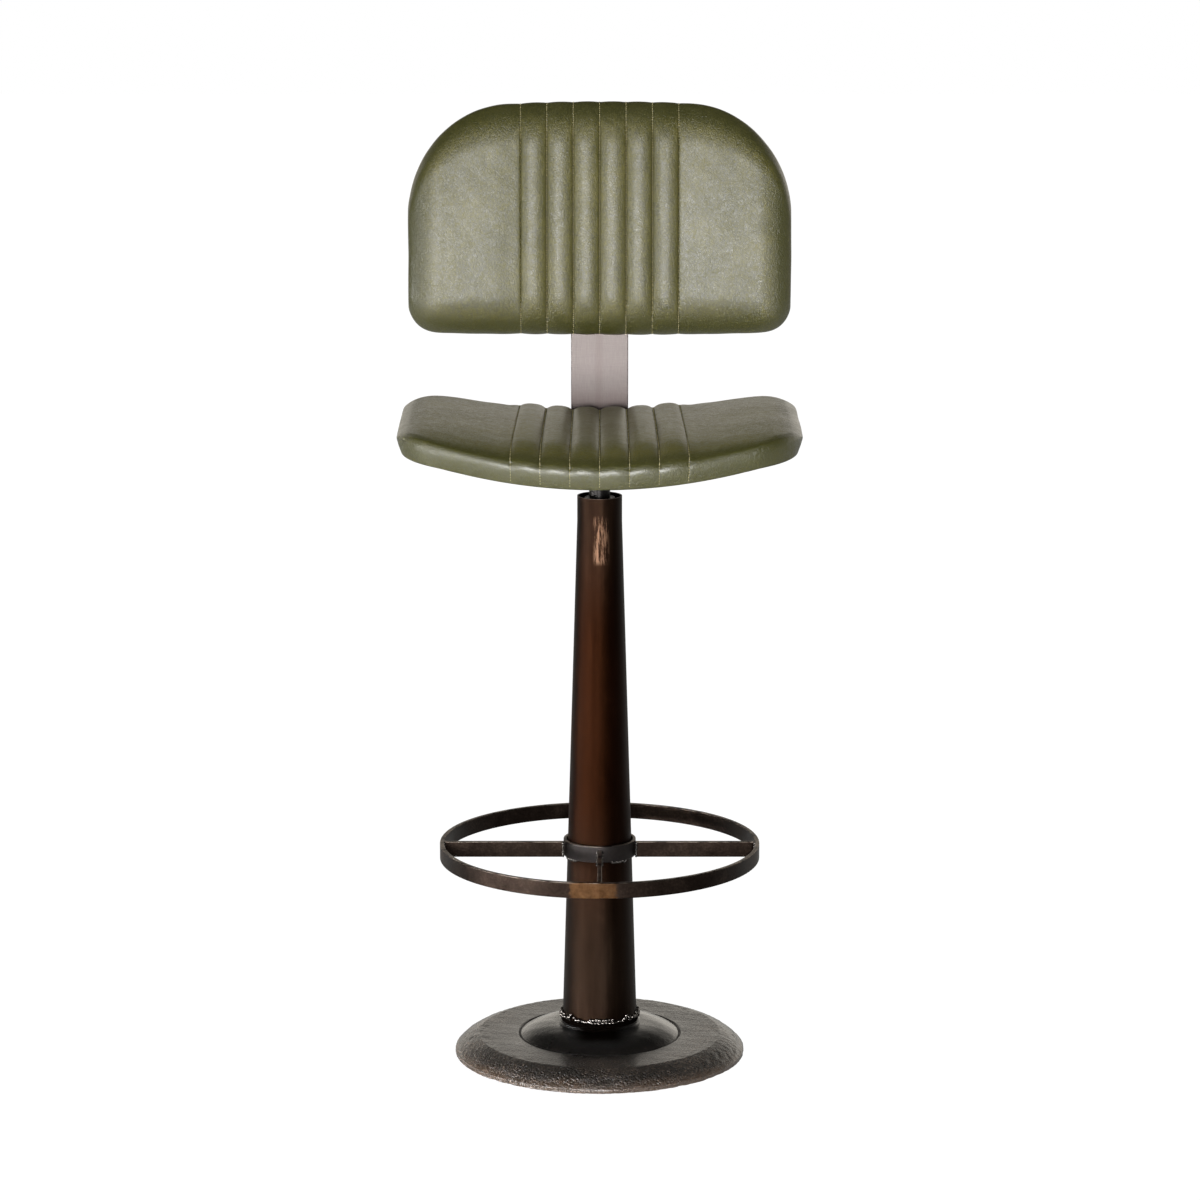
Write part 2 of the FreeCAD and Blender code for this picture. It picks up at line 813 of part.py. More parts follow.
def seat_outline(margin):
    half = f"(seat_width / 2 - {margin})"
    shoulder_front = f"({half} - seat_front_corner)"
    shoulder_rear = f"({half} - seat_rear_corner)"
    front = f"-seat_depth / 2 + {margin}"
    rear = f"seat_depth / 2 - {margin}"
    front_side = f"{front} + seat_front_corner + " + dish(half, "seat_front_bow")
    rear_side = f"{rear} - seat_rear_corner - " + dish(half, "seat_rear_bow")
    front_shoulder = f"{front} + " + dish(shoulder_front, "seat_front_bow")
    rear_shoulder = f"{rear} - " + dish(shoulder_rear, "seat_rear_bow")
    return [
        (f"-{shoulder_front}", front_shoulder, "seat_front_corner_arc", -1),
        (shoulder_front, front_shoulder, "seat_front_bow", -1),
        (half, front_side, "seat_front_corner_arc", -1),
        (half, rear_side),
        (shoulder_rear, rear_shoulder, "seat_rear_corner_arc", -1),
        (f"-{shoulder_rear}", rear_shoulder, "seat_rear_bow", -1),
        (f"-{half}", rear_side, "seat_rear_corner_arc", -1),
        (f"-{half}", front_side),
    ]


def back_outline(margin):
    half = f"(back_width / 2 - {margin})"
    shoulder_top = f"({half} - back_top_corner)"
    shoulder_low = f"({half} - back_bottom_corner)"
    low = f"back_rise + {margin}"
    high = f"back_rise + back_height - {margin}"
    low_side = f"{low} + back_bottom_corner + " + dish(half, "back_bottom_bow")
    high_side = f"{high} - back_top_corner - " + dish(half, "back_top_bow")
    low_shoulder = f"{low} + " + dish(shoulder_low, "back_bottom_bow")
    high_shoulder = f"{high} - " + dish(shoulder_top, "back_top_bow")
    return [
        (f"-{shoulder_low}", low_shoulder, "back_bottom_corner_arc", -1),
        (shoulder_low, low_shoulder, "back_bottom_bow", -1),
        (half, low_side, "back_bottom_corner_arc", -1),
        (half, high_side),
        (shoulder_top, high_shoulder, "back_top_corner_arc", -1),
        (f"-{shoulder_top}", high_shoulder, "back_top_bow", -1),
        (f"-{half}", high_side, "back_top_corner_arc", -1),
        (f"-{half}", low_side),
    ]


def bent_band(half, radius, inner_face, outer_face, middle):
    """Cross-section of a bent sheet. Faces lie inside the outer radius, which passes the middle height."""
    inner = f"({radius} - ({inner_face}))"
    outer = f"({radius} - ({outer_face}))"
    centre = f"({middle} + {radius})"
    inner_side = f"{centre} - sqrt({inner} ^ 2 - ({half}) ^ 2)"
    outer_side = f"{centre} - sqrt({outer} ^ 2 - ({half}) ^ 2)"
    return [
        (f"-({half})", outer_side),
        (half, outer_side, outer, -1),
        (half, inner_side),
        (f"-({half})", inner_side, inner, 1),
    ]


def bent_sheet(name, outline, band, length, back=False):
    """Sheet that has the plan outline and the bent cross-section."""
    plan = doc.addObject("Sketcher::SketchObject", f"{name}_plan")
    section = doc.addObject("Sketcher::SketchObject", f"{name}_section")
    upright = FreeCAD.Rotation(FreeCAD.Vector(1, 0, 0), 90)
    if back:
        plan.Placement.Rotation = upright
        section.Placement.Rotation = FreeCAD.Rotation(FreeCAD.Vector(0, 0, 1), 180)
    else:
        bind(plan, "Placement.Base.z", "board_bottom")
        section.Placement.Rotation = upright
    draw_outline(plan, outline)
    draw_outline(section, band)
    blocks = []
    for sketch, reach in ((plan, "seat_width"), (section, length)):
        block = doc.addObject("Part::Extrusion", f"{sketch.Name}_block")
        block.Base = sketch
        block.DirMode = "Normal"
        block.Solid = True
        block.Symmetric = True
        bind(block, "LengthFwd", f"2 * ({reach})")
        blocks.append(block)
    sheet = doc.addObject("Part::MultiCommon", name)
    sheet.Shapes = blocks
    sheet.Label = name
    doc.recompute()
    return sheet


def seat_sheet(name, margin, inner_face, outer_face):
    band = bent_band("seat_width / 2", "dish_radius", inner_face, outer_face, "board_bottom")
    return bent_sheet(name, seat_outline(margin), band, "seat_depth")


def back_sheet(name, margin, inner_face, outer_face):
    band = bent_band("back_width / 2", "back_bend", inner_face, outer_face, "0")
    return bent_sheet(name, back_outline(margin), band, "back_height + back_rise", back=True)


def counterbored(name, blank, group):
    """Clear the barrels and flanges of the T-nuts out of a drilled board."""
    seat = group == "seat"
    tools = []
    for index, (across, along) in enumerate(SEAT_SPOTS if seat else BACK_SPOTS):
        for part, radius, depth in (
            ("barrel", "nut_barrel_radius + fit_clearance", "nut_barrel_length + nut_flange"),
            ("flange", "nut_flange_radius + fit_clearance", "nut_flange"),
        ):
            tool = doc.addObject("Part::Cylinder", f"{name}_{part}_{index}")
            bind(tool, "Radius", radius)
            bind(tool, "Height", f"{depth} + seat_board")
            bind(tool, "Placement.Base.x", across)
            if seat:
                bind(tool, "Placement.Base.y", along)
                bind(tool, "Placement.Base.z", f"board_top - ({depth})")
            else:
                tool.Placement.Rotation = FreeCAD.Rotation(FreeCAD.Vector(1, 0, 0), 90)
                bind(tool, "Placement.Base.y", f"{depth} - back_cover - back_board")
                bind(tool, "Placement.Base.z", along)
            tools.append(tool)
    compound = doc.addObject("Part::Compound", f"{name}_seats")
    compound.Links = tools
    return cut_out(name, blank, compound)


def make_boards():
    margin = "cushion_margin"
    dust = drilled("seat_dust_cover", seat_sheet("dust_sheet", margin, "0", "-cover_thickness"), "seat")
    board = drilled("seat_board_drilled", seat_sheet("seat_board_blank", margin, "seat_board", "0"), "seat")
    seat_board = counterbored("seat_board", board, "seat")
    cover = drilled("back_rear_cover", back_sheet("rear_sheet", margin, "back_cover", "0"), "back")
    blank = back_sheet("back_board_blank", margin, "back_cover + back_board", "back_cover")
    back_board = counterbored("back_board", drilled("back_board_drilled", blank, "back"), "back")
    lean(cover)
    lean(back_board)
    return [dust, seat_board, cover, back_board]


# Cushions: lofts across the width through fore-and-aft sections, one loft for each sewn channel


def turning_arc(start, end):
    """Arc from start that ends level, as a middle point between the two."""
    run, rise = end[0] - start[0], end[1] - start[1]
    radius = (run**2 + rise**2) / (2 * abs(rise))
    turn = math.asin(min(1, abs(run) / radius)) / 2
    drop = radius - radius * math.cos(turn)
    return (end[0] - math.copysign(radius * math.sin(turn), run), end[1] - math.copysign(drop, rise))


def cushion_section(ends, heights, face, rolls, plump, to_space):
    """Closed section: flat base, tucked noses at both ends, rolls up to a crowned face."""
    near, far = ends
    base, nose = heights
    tuck = value("cushion_tuck")
    bulge = base + TUCK_HEIGHT * (nose - base)
    corners = [
        (far - tuck, base),
        (near + tuck, base),
        (near, nose),
        (near + rolls[0], face[0]),
        (far - rolls[1], face[1]),
        (far, nose),
    ]
    middles = [
        None,
        (near + TUCK_BULGE * tuck, bulge),
        turning_arc(corners[2], corners[3]),
        ((corners[3][0] + corners[4][0]) / 2, (face[0] + face[1]) / 2 + value("crown") * plump),
        turning_arc(corners[5], corners[4]),
        (far - TUCK_BULGE * tuck, bulge),
    ]
    edges = []
    for index, start in enumerate(corners):
        end = corners[(index + 1) % len(corners)]
        if middles[index] is None:
            edges.append(Part.makeLine(to_space(*start), to_space(*end)))
        else:
            edges.append(Part.Arc(to_space(*start), to_space(*middles[index]), to_space(*end)).toShape())
    return Part.Wire(edges)


def lofted(sections):
    loft = Part.makeLoft(sections, True, False)
    return loft.Solids[0] if loft.Solids else loft


def corner_drop(distance, half, corner):
    """How far a rounded corner has come in from the end of the outline."""
    inside = max(0.0, distance - (half - corner))
    return corner - math.sqrt(max(corner**2 - inside**2, 0.0))


def bow(distance, radius):
    return radius - math.sqrt(radius**2 - distance**2)


def station_distances(half, pitch, side_roll):
    """Distances from the middle: the sewn lines, then the sections of the smooth panel beyond them."""
    count = int(value("channel_count"))
    lines = [(index - count / 2) * pitch for index in range(count + 1)]
    outer, flat = lines[-1], half - side_roll
    rise = value("panel_rise")
    level = flat - outer - rise
    steps = max(1, math.ceil(level / value("station_gap")))
    panel = [outer, outer + RISE_SHARE * rise]
    panel += [outer + rise + level * index / steps for index in range(steps + 1)]
    panel += [flat + side_roll * share for share in ROLL_SHARES]
    return lines, panel


def panel_station(distance, half, side_roll, outer, fall):
    """State of the panel: how near the seam, how far sunk, how full at the side, how far past the board."""
    away = math.sin(min(1.0, (distance - outer) / value("panel_rise")) * math.pi / 2)
    outward = (distance - outer) / (half - outer)
    sink = value("channel_depth") * (1 - away) + value("panel_drop") * away + fall * outward**2
    into_side = max(0.0, (distance - (half - side_roll)) / (side_roll + value("side_lip")))
    past_board = max(0.0, 1 - (half - distance) / value("cushion_margin"))
    return {"seam": 1 - away, "sink": sink, "side": math.sqrt(1 - into_side**2), "past": past_board}


def seam_station():
    return {"seam": 1.0, "sink": value("channel_depth"), "side": 1.0, "past": 0.0}


def ridge_station():
    return {"seam": 0.0, "sink": 0.0, "side": 1.0, "past": 0.0}


def section_heights(cushion, station, lift, full):
    """Underside and nose, and the face where it is fullest, at one station of the seat or the back."""
    edge, side = value("edge_thickness"), station["side"]
    nose, side_nose, side_raise = (value(cushion + name) for name in ("_nose", "_side_nose", "_side_raise"))
    base = lift + station["past"] * side_raise
    raised = lift + (1 - side) * side_raise
    tip = raised + side_nose + (nose - side_nose) * side
    return (base, tip), raised + edge + (full - station["sink"] - edge) * side


def seat_section_at(distance, slant, station):
    """Section of the seat at a distance to one side. Slant is its change in X per unit of Y."""
    half = value("seat_width") / 2
    depth = value("seat_depth") / 2
    reach = min(abs(distance), half)
    near = -depth + bow(reach, value("seat_front_bow")) + corner_drop(reach, half, value("seat_front_corner"))
    far = depth - bow(reach, value("seat_rear_bow")) - corner_drop(reach, half, value("seat_rear_corner"))
    lift = value("board_bottom") + bow(reach, value("dish_radius"))
    heights, top = section_heights("seat", station, lift, value("seat_board") + value("seat_foam"))
    shrink = (far - near) / (2 * depth)
    rolls = (value("seat_front_roll") * shrink, value("seat_rear_roll") * shrink)
    face = (top, top - value("seat_fall") * station["side"])
    pull = value("seam_pull") * station["seam"]

    def to_space(along, height):
        return FreeCAD.Vector(distance + slant * along, along, height)

    return cushion_section((near + pull, far - pull), heights, face, rolls, station["side"], to_space)


def back_section_at(distance, slant, station):
    """Section of the backrest at a distance to one side, in the strap's own frame."""
    half = value("back_width") / 2
    reach = min(abs(distance), half)
    near = value("back_rise") + bow(reach, value("back_bottom_bow"))
    near += corner_drop(reach, half, value("back_bottom_corner"))
    far = value("back_rise") + value("back_height") - bow(reach, value("back_top_bow"))
    far -= corner_drop(reach, half, value("back_top_corner"))
    full = value("back_board") + value("back_cover") + value("back_foam")
    heights, top = section_heights("back", station, bow(reach, value("back_bend")), full)
    roll = value("back_end_roll") * (far - near) / value("back_height")

    def to_space(along, height):
        return FreeCAD.Vector(distance + slant * along, -height, along)

    return cushion_section((near, far), heights, (top, top), (roll, roll), station["side"], to_space)


def cushion_form(section_at, half, pitch, side_roll, fall, fan):
    """Join the channels and the two side panels. Fan is the pitch's growth per unit of length."""
    lines, panel = station_distances(half, pitch, side_roll)
    outer = lines[-1]
    solids = []
    for left, right in zip(lines, lines[1:]):
        stations = ((left, seam_station()), ((left + right) / 2, ridge_station()), (right, seam_station()))
        solids.append(lofted([section_at(x, fan * x / pitch, station) for x, station in stations]))
    for direction in (-1, 1):
        sections = []
        for distance in panel:
            station = panel_station(distance, half, side_roll, outer, fall)
            slant = fan * outer / pitch * (half - distance) / (half - outer)
            sections.append(section_at(direction * distance, direction * slant, station))
        solids.append(lofted(sections))
    return solids[0].fuse(solids[1:])


def make_cushion(name, form, pocket):
    cushion = doc.addObject("Part::Feature", name)
    cushion.Label = name
    hollowed = form.cut(pocket.Shape)
    cushion.Shape = max(hollowed.Solids, key=lambda solid: solid.Volume)
    return cushion


def make_seat_cushion():
    pocket = seat_sheet("seat_pocket", "pocket_margin", "seat_board + cushion_clearance", "-2 * seat_board")
    pitch = (value("seat_channel_front") + value("seat_channel_rear")) / 2
    fan = (value("seat_channel_rear") - value("seat_channel_front")) / value("seat_depth")
    half, roll, fall = value("seat_width") / 2, value("seat_side_roll"), value("seat_side_fall")
    form = cushion_form(seat_section_at, half, pitch, roll, fall, fan)
    return make_cushion("seat_cushion", form, pocket)


def make_back_cushion():
    depth = "back_cover + back_board + cushion_clearance"
    pocket = back_sheet("back_pocket", "pocket_margin", depth, "-2 * back_board")
    half, roll, fall = value("back_width") / 2, value("back_side_roll"), value("back_side_fall")
    form = cushion_form(back_section_at, half, value("back_channel"), roll, fall, 0.0)
    cushion = make_cushion("back_cushion", form, pocket)
    lean(cushion)
    return cushion


def check_document(parts):
    doc.recompute()
    failed = [thing.Name for thing in doc.Objects if {"Invalid", "Error"} & set(thing.State)]
    for part in parts:
        shape = part.Shape
        if shape.isNull() or not shape.isValid() or not shape.Solids:
            failed.append(part.Label)
    if failed:
        raise RuntimeError("failed: " + ", ".join(failed))


def main():
    parts = [make_base(), make_floor_pad(), make_column(), make_foot_weld()]
    parts += [make_foot_ring(), make_collar(), make_collar_weld()]
    for name, angle in (("right", 0), ("rear", 90), ("left", 180), ("front", 270)):
        parts.append(make_spoke(f"{name}_spoke", angle))
    parts += [make_sleeve(), make_thrust_washer()]
    parts += [make_bush("upper_bush", "sleeve_top", 1), make_bush("lower_bush", "sleeve_bottom", -1)]
    parts += [make_spindle(), make_retaining_ring(), make_seat_plate(), make_spindle_weld(), make_strap()]
    parts += make_fasteners()
    parts += make_boards()
    parts += [make_seat_cushion(), make_back_cushion()]
    check_document(parts)
    os.makedirs("parts", exist_ok=True)
    for part in parts:
        part.Shape.exportStep(f"parts/{part.Label}.step")
        print(part.Label, len(part.Shape.Solids), round(part.Shape.Volume))


main()
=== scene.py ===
import math

import bmesh
import bpy
import numpy as np
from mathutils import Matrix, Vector


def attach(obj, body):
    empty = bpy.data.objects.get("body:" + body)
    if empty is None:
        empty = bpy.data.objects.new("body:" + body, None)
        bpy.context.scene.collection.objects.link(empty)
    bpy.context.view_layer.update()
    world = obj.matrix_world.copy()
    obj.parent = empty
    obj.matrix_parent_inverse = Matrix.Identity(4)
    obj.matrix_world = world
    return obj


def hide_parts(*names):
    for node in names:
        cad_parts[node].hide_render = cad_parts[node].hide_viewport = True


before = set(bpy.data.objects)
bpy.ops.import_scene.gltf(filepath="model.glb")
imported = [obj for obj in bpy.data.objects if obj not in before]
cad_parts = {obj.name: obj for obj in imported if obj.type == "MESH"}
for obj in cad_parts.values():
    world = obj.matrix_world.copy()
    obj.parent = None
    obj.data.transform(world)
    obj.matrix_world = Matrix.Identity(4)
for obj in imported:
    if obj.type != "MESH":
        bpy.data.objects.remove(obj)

# Bar stool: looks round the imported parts. Shapes are worked out in millimetres, in the parts' own frame.

MM = 0.001
TURN, QUARTER = 2.0 * math.pi, math.pi / 2.0
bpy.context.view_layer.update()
scene = bpy.context.scene


def add_object(name, data):
    made = bpy.data.objects.new(name, data)
    scene.collection.objects.link(made)
    return made


# Camera: the photograph's place and angle

CAMERA_PLACE = (0.0, -5.400, 1.685)
CAMERA_TILT = 78.232
CAMERA_LENS, CAMERA_SENSOR, CAMERA_SHIFT = 138.76, 36.0, 0.0003

camera_data = bpy.data.cameras.new("photo_camera")
camera_data.lens = CAMERA_LENS
camera_data.sensor_width = CAMERA_SENSOR
camera_data.shift_x = CAMERA_SHIFT
camera_data.clip_start = 0.1
camera_data.clip_end = 100.0
camera = add_object("photo_camera", camera_data)
camera.location = CAMERA_PLACE
camera.rotation_euler = (math.radians(CAMERA_TILT), 0.0, 0.0)
scene.camera = camera

# Sizes that the parts share with the solids, in millimetres

# Each plan: low and high end, their bows, their corners, and the radii of the boards' corner arcs
SEAT = {
    "half": 237.5, "plan": (-190.0, 190.0, 650.0, 2400.0, 62.0, 64.0, 71.3, 70.4),
    "dish": 820.0, "full": 43.0, "fall": 3.0, "droop": 3.4, "dip": 2.4,
    "side_fall": 17.0, "front_roll": 84.0, "rear_roll": 30.0, "side_roll": 36.0,
    "pitch": 33.25, "fan": (32.1 - 34.4) / 380.0, "base": 727.0, "board": 12.0,
    "nose": 27.5, "side_nose": 6.3, "side_raise": 0.0, "soft": (5.0, 20.0, 60),
}
BACK = {
    "half": 233.5, "plan": (122.0, 408.0, 6500.0, 2400.0, 32.0, 122.0, 35.2, 128.1),
    "bend": 3000.0, "full": 43.0, "side_fall": 4.0, "droop": 0.0, "dip": 0.0,
    "end_roll": 54.0, "side_roll": 40.0, "pitch": 32.0, "board": 15.0,
    "nose": 15.0, "side_nose": 6.75, "side_raise": 7.5, "soft": (5.0, 18.0, 50),
}
TUCK, EDGE, CROWN, SEAM_DEPTH, PANEL_DROP, PANEL_RISE = 7.0, 9.0, 1.5, 5.0, 2.5, 22.4
SIDE_LIP, MARGIN, POCKET_GAP = 0.6, 9.0, 0.3
# Depths: sewn line, its puckers as a share, side panel at its seam, narrow fold there; then their runs
CREASE, PUCKER, PANEL_SEAM, FOLD = 0.7, 0.22, 1.3, 1.2
PANEL_SEAM_RUN, FOLD_RUN = 34.0, 2.2
# The padding's unevenness, and how wide its noses are rounded: share of the height, and the least
LONG_WAVE, LONG_WAVE_DEPTH, SHORT_WAVE, SHORT_WAVE_DEPTH = 95.0, 0.45, 31.0, 0.16
NOSE_WIDTH, NOSE_LEAST = 0.27, 0.3
CHANNELS = 6
SEAMS = [line - CHANNELS / 2 for line in range(CHANNELS + 1)]
STITCH, STITCH_GAP, STITCH_RADIUS, STITCH_LIFT, STITCH_SINK = 1.9, 1.5, 0.36, 0.22, 0.25
STITCH_SIDES, STITCH_STATIONS = 6, 5
RIM_RINGS = 22
STRAP_TOP, STRAP_SETBACK, RECLINE = 726.0, 203.0, math.radians(4.0)


# Node materials

# Most of a noise's values lie between these two
NOISE_LOW, NOISE_HIGH = 0.3, 0.7
WHITE = (1.0, 1.0, 1.0)


def scaled(colour, factor):
    return [factor * part for part in colour]


class Shader:
    """Builds one node material, or the world, step by step."""

    def __init__(self, name, tree=None):
        self.material = None
        if tree is None:
            self.material = bpy.data.materials.new(name)
            self.material.use_nodes = True
            tree = self.material.node_tree
        self.tree = tree
        self.tree.nodes.clear()
        self.places = self.node("TexCoord").outputs
        self.colour = None

    def node(self, kind, inputs=None, **settings):
        made = self.tree.nodes.new("ShaderNode" + kind)
        for key, setting in settings.items():
            setattr(made, key, setting)
        for key, source in (inputs or {}).items():
            self.feed(made.inputs[key], source)
        return made

    def feed(self, socket, source):
        if isinstance(source, bpy.types.NodeSocket):
            self.tree.links.new(source, socket)
        elif isinstance(source, (tuple, list)) and len(source) == 3 and len(socket.default_value) == 4:
            socket.default_value = (*source, 1.0)
        else:
            socket.default_value = source

    def mapped(self, scale, rotation=(0.0, 0.0, 0.0)):
        """The object's own places, stretched and turned."""
        inputs = {"Vector": self.places["Object"], "Rotation": rotation, "Scale": scale}
        return self.node("Mapping", inputs).outputs[0]

    def attribute(self, name):
        return self.node("Attribute", attribute_name=name).outputs["Fac"]

    def noise(self, scale, detail=4.0, roughness=0.55, distortion=0.0, at=None):
        inputs = {"Vector": at or self.places["Object"], "Scale": scale, "Detail": detail}
        inputs.update({"Roughness": roughness, "Distortion": distortion})
        return self.node("TexNoise", inputs).outputs["Fac"]

    def cells(self, scale, feature="F1", randomness=1.0, at=None):
        inputs = {"Vector": at or self.places["Object"], "Scale": scale, "Randomness": randomness}
        return self.node("TexVoronoi", inputs, feature=feature).outputs["Distance"]

    def maths(self, operation, *sources):
        made = self.node("Math", operation=operation)
        for socket, source in zip(made.inputs, sources):
            self.feed(socket, source)
        return made.outputs[0]

    def add(self, total, *others):
        for other in others:
            total = self.maths("ADD", total, other)
        return total

    def times(self, total, *others):
        for other in others:
            total = self.maths("MULTIPLY", total, other)
        return total

    def gap(self, source, middle=0.0):
        """Distance from a middle value, on both sides of it."""
        return self.maths("ABSOLUTE", self.add(source, -middle))

    def span(self, source, low, high, to_low=0.0, to_high=1.0, kind="LINEAR"):
        inputs = {"Value": source, "From Min": low, "From Max": high, "To Min": to_low, "To Max": to_high}
        return self.node("MapRange", inputs, interpolation_type=kind).outputs[0]

    def ease(self, source, low, high, to_low=0.0, to_high=1.0):
        return self.span(source, low, high, to_low, to_high, "SMOOTHSTEP")

    def even(self, noise, to_low, to_high):
        return self.span(noise, NOISE_LOW, NOISE_HIGH, to_low, to_high)

    def ramp(self, source, *stops):
        made = self.node("ValToRGB", {"Fac": source})
        elements = made.color_ramp.elements
        while len(elements) < len(stops):
            elements.new(0.5)
        for element, (position, colour) in zip(elements, stops):
            element.position = position
            element.color = (*colour, 1.0)
        return made.outputs["Color"]

    def blend(self, factor, first, second):
        made = self.node("Mix", data_type="RGBA", blend_type="MIX", clamp_factor=True)
        for index, source in ((0, factor), (6, first), (7, second)):
            self.feed(made.inputs[index], source)
        return made.outputs[2]

    def paint(self, share, colour):
        """Lay a colour over the colour so far."""
        self.colour = self.blend(share, self.colour, colour)

    def axes(self, vector=None):
        return self.node("SeparateXYZ", {"Vector": vector or self.places["Object"]}).outputs

    def output(self, kind, shader):
        self.tree.links.new(shader.outputs[0], self.node(kind).inputs[0])
        return self.material

    def finish(self, roughness, height, distance, strength, **others):
        """Material of the colour so far, with a relief of the given height, distance and strength."""
        relief = self.node("Bump", {"Height": height, "Distance": distance, "Strength": strength})
        inputs = {"Base Color": self.colour, "Roughness": roughness, "Normal": relief.outputs["Normal"]}
        inputs.update({key.replace("_", " "): source for key, source in others.items()})
        return self.output("OutputMaterial", self.node("BsdfPrincipled", inputs))


def leather(name, dark, middle, light, roughness):
    """Waxed olive leather: cloudy colour, burnished rim, painted shade in the sewn lines, fine pebbled and
    creased grain.
    """
    s = Shader(name)
    clouds = s.noise(15.0, 5.0, 0.6, 0.4)
    mottle = s.noise(150.0, 4.0, 0.65, 0.6)
    speckle = s.noise(540.0, 3.0, 0.65)
    veins = s.noise(52.0, 6.0, 0.72, 1.8, s.mapped((1.0, 1.0, 0.4), (0.0, 0.6, 0.5)))
    grain = s.cells(720.0, "DISTANCE_TO_EDGE")
    creases = s.cells(210.0, "DISTANCE_TO_EDGE", at=s.mapped((1.0, 1.0, 0.7)))
    tone = s.add(s.even(clouds, 0.0, 0.5), s.span(mottle, 0.32, 0.68, 0.0, 0.5))
    s.colour = s.ramp(tone, (0.0, dark), (0.5, middle), (1.0, light))
    s.paint(s.span(speckle, 0.5, 0.66, 0.0, 0.65), light)
    s.paint(s.span(speckle, 0.5, 0.34, 0.0, 0.65), scaled(dark, 0.8))
    s.paint(s.span(veins, 0.55, 0.66, 0.0, 0.4), light)
    rim = s.attribute("rim")
    burnish = s.add(rim, s.span(clouds, 0.35, 0.65, -0.12, 0.12))
    s.paint(s.ease(burnish, 0.2, 1.0, 0.0, 0.74), dark)
    # Painted shade: the grooves of the sewn lines are darkened
    s.paint(s.attribute("crease"), scaled(dark, 0.4))
    uneven = s.add(s.even(mottle, -0.05, 0.06), s.even(speckle, -0.05, 0.05))
    uneven = s.add(uneven, s.span(veins, 0.5, 0.66, 0.0, -0.05))
    rough = s.add(s.even(clouds, roughness - 0.05, roughness + 0.05), uneven)
    worn = s.ease(rim, 0.8, 1.0)
    glaze = s.add(s.span(s.add(mottle, speckle), 0.78, 1.22, 0.70, 0.24), s.times(worn, 0.28))
    relief = s.add(
        s.times(s.span(grain, 0.0, 0.3), 0.4), s.times(s.span(creases, 0.0, 0.12), 0.5),
        s.times(mottle, 1.2), s.times(speckle, 0.9),
    )
    rubbed = s.span(worn, 0.0, 1.0, 0.38, 0.31)
    return s.finish(
        rough, relief, 0.00055, 0.75, Specular_IOR_Level=0.75,
        Coat_Weight=glaze, Coat_Roughness=rubbed, Coat_IOR=1.6,
    )


def thread(name, colour):
    s = Shader(name)
    fibres = s.noise(2600.0, 3.0, 0.7)
    soil = s.noise(30.0, 3.0, 0.6)
    s.colour = colour
    s.paint(s.span(soil, 0.4, 0.65, 0.0, 0.35), scaled(colour, 0.62))
    s.paint(s.span(fibres, 0.35, 0.65, 0.0, 0.4), scaled(colour, 1.15))
    return s.finish(0.72, fibres, 0.0002, 0.7, Sheen_Weight=0.2)


# Marks that the photograph shows on the metal: middles, half widths and heights in metres
STREAKS_AT, STREAKS_HALF, STREAKS_LOW, STREAKS_HIGH = 0.002, 0.008, 0.610, 0.664
WARM_START, WARM_FULL, WARM_END, COOL = 0.12, 0.34, 0.50, 0.70
TUBE_RIM = 0.6862
PATCH_AT, PATCH_HALF, PATCH_FRONT = -0.0075, 0.027, -0.180
RING_TOP, COLLAR_TOP = 0.263, 0.2675
HUB_LEDGE, LEDGE_RADIUS, GROOVE_RADIUS, RUST_HEIGHT = 0.0412, 0.0466, 0.097, 0.016
CENTRE_LINE, TINT_HEIGHT = -0.001, 0.800


def column_steel(name):
    """Dark bronzed tube: long burnish marks, a redder middle and scratched bare streaks near the top."""
    s = Shader(name)
    x, y, z = s.axes()
    long_marks = s.noise(90.0, 5.0, 0.6, at=s.mapped((1.0, 1.0, 0.05)))
    clouds = s.noise(22.0, 5.0, 0.62, 0.6, s.mapped((1.0, 1.0, 0.35)))
    warm = s.times(s.ease(z, WARM_START, WARM_FULL, 0.15, 1.0), s.ease(z, WARM_END, COOL, 1.0, 0.35))
    tone = s.add(s.even(clouds, 0.0, 0.6), s.even(long_marks, 0.0, 0.4))
    plain = s.ramp(
        tone, (0.0, (0.008, 0.0048, 0.003)), (0.6, (0.019, 0.0118, 0.008)), (1.0, (0.036, 0.024, 0.0165))
    )
    bronze = s.ramp(
        tone, (0.0, (0.0065, 0.0020, 0.0008)), (0.6, (0.0145, 0.0047, 0.0019)), (1.0, (0.031, 0.0112, 0.0047))
    )
    s.colour = s.blend(warm, plain, bronze)
    inside = s.times(
        s.ease(s.gap(x, STREAKS_AT), STREAKS_HALF - 0.003, STREAKS_HALF + 0.003, 1.0, 0.0),
        s.ease(z, STREAKS_LOW - 0.004, STREAKS_LOW + 0.004),
        s.ease(z, STREAKS_HIGH - 0.004, STREAKS_HIGH + 0.004, 1.0, 0.0), s.span(y, -0.012, -0.018),
    )
    streaks = s.noise(330.0, 4.0, 0.75, at=s.mapped((1.0, 1.0, 0.10)))
    rubbed = s.times(inside, s.span(streaks, 0.47, 0.56))
    s.paint(s.times(rubbed, 0.8), (0.24, 0.135, 0.085))
    s.paint(s.times(s.span(z, TUBE_RIM, TUBE_RIM + 0.0006), 0.5), (0.12, 0.09, 0.075))
    rough = s.add(s.even(clouds, 0.40, 0.54), s.times(rubbed, 0.06))
    relief = s.add(s.times(s.noise(420.0, 3.0, 0.6), 0.3), s.times(rubbed, 0.4))
    return s.finish(rough, relief, 0.0003, 0.5, Metallic=1.0)


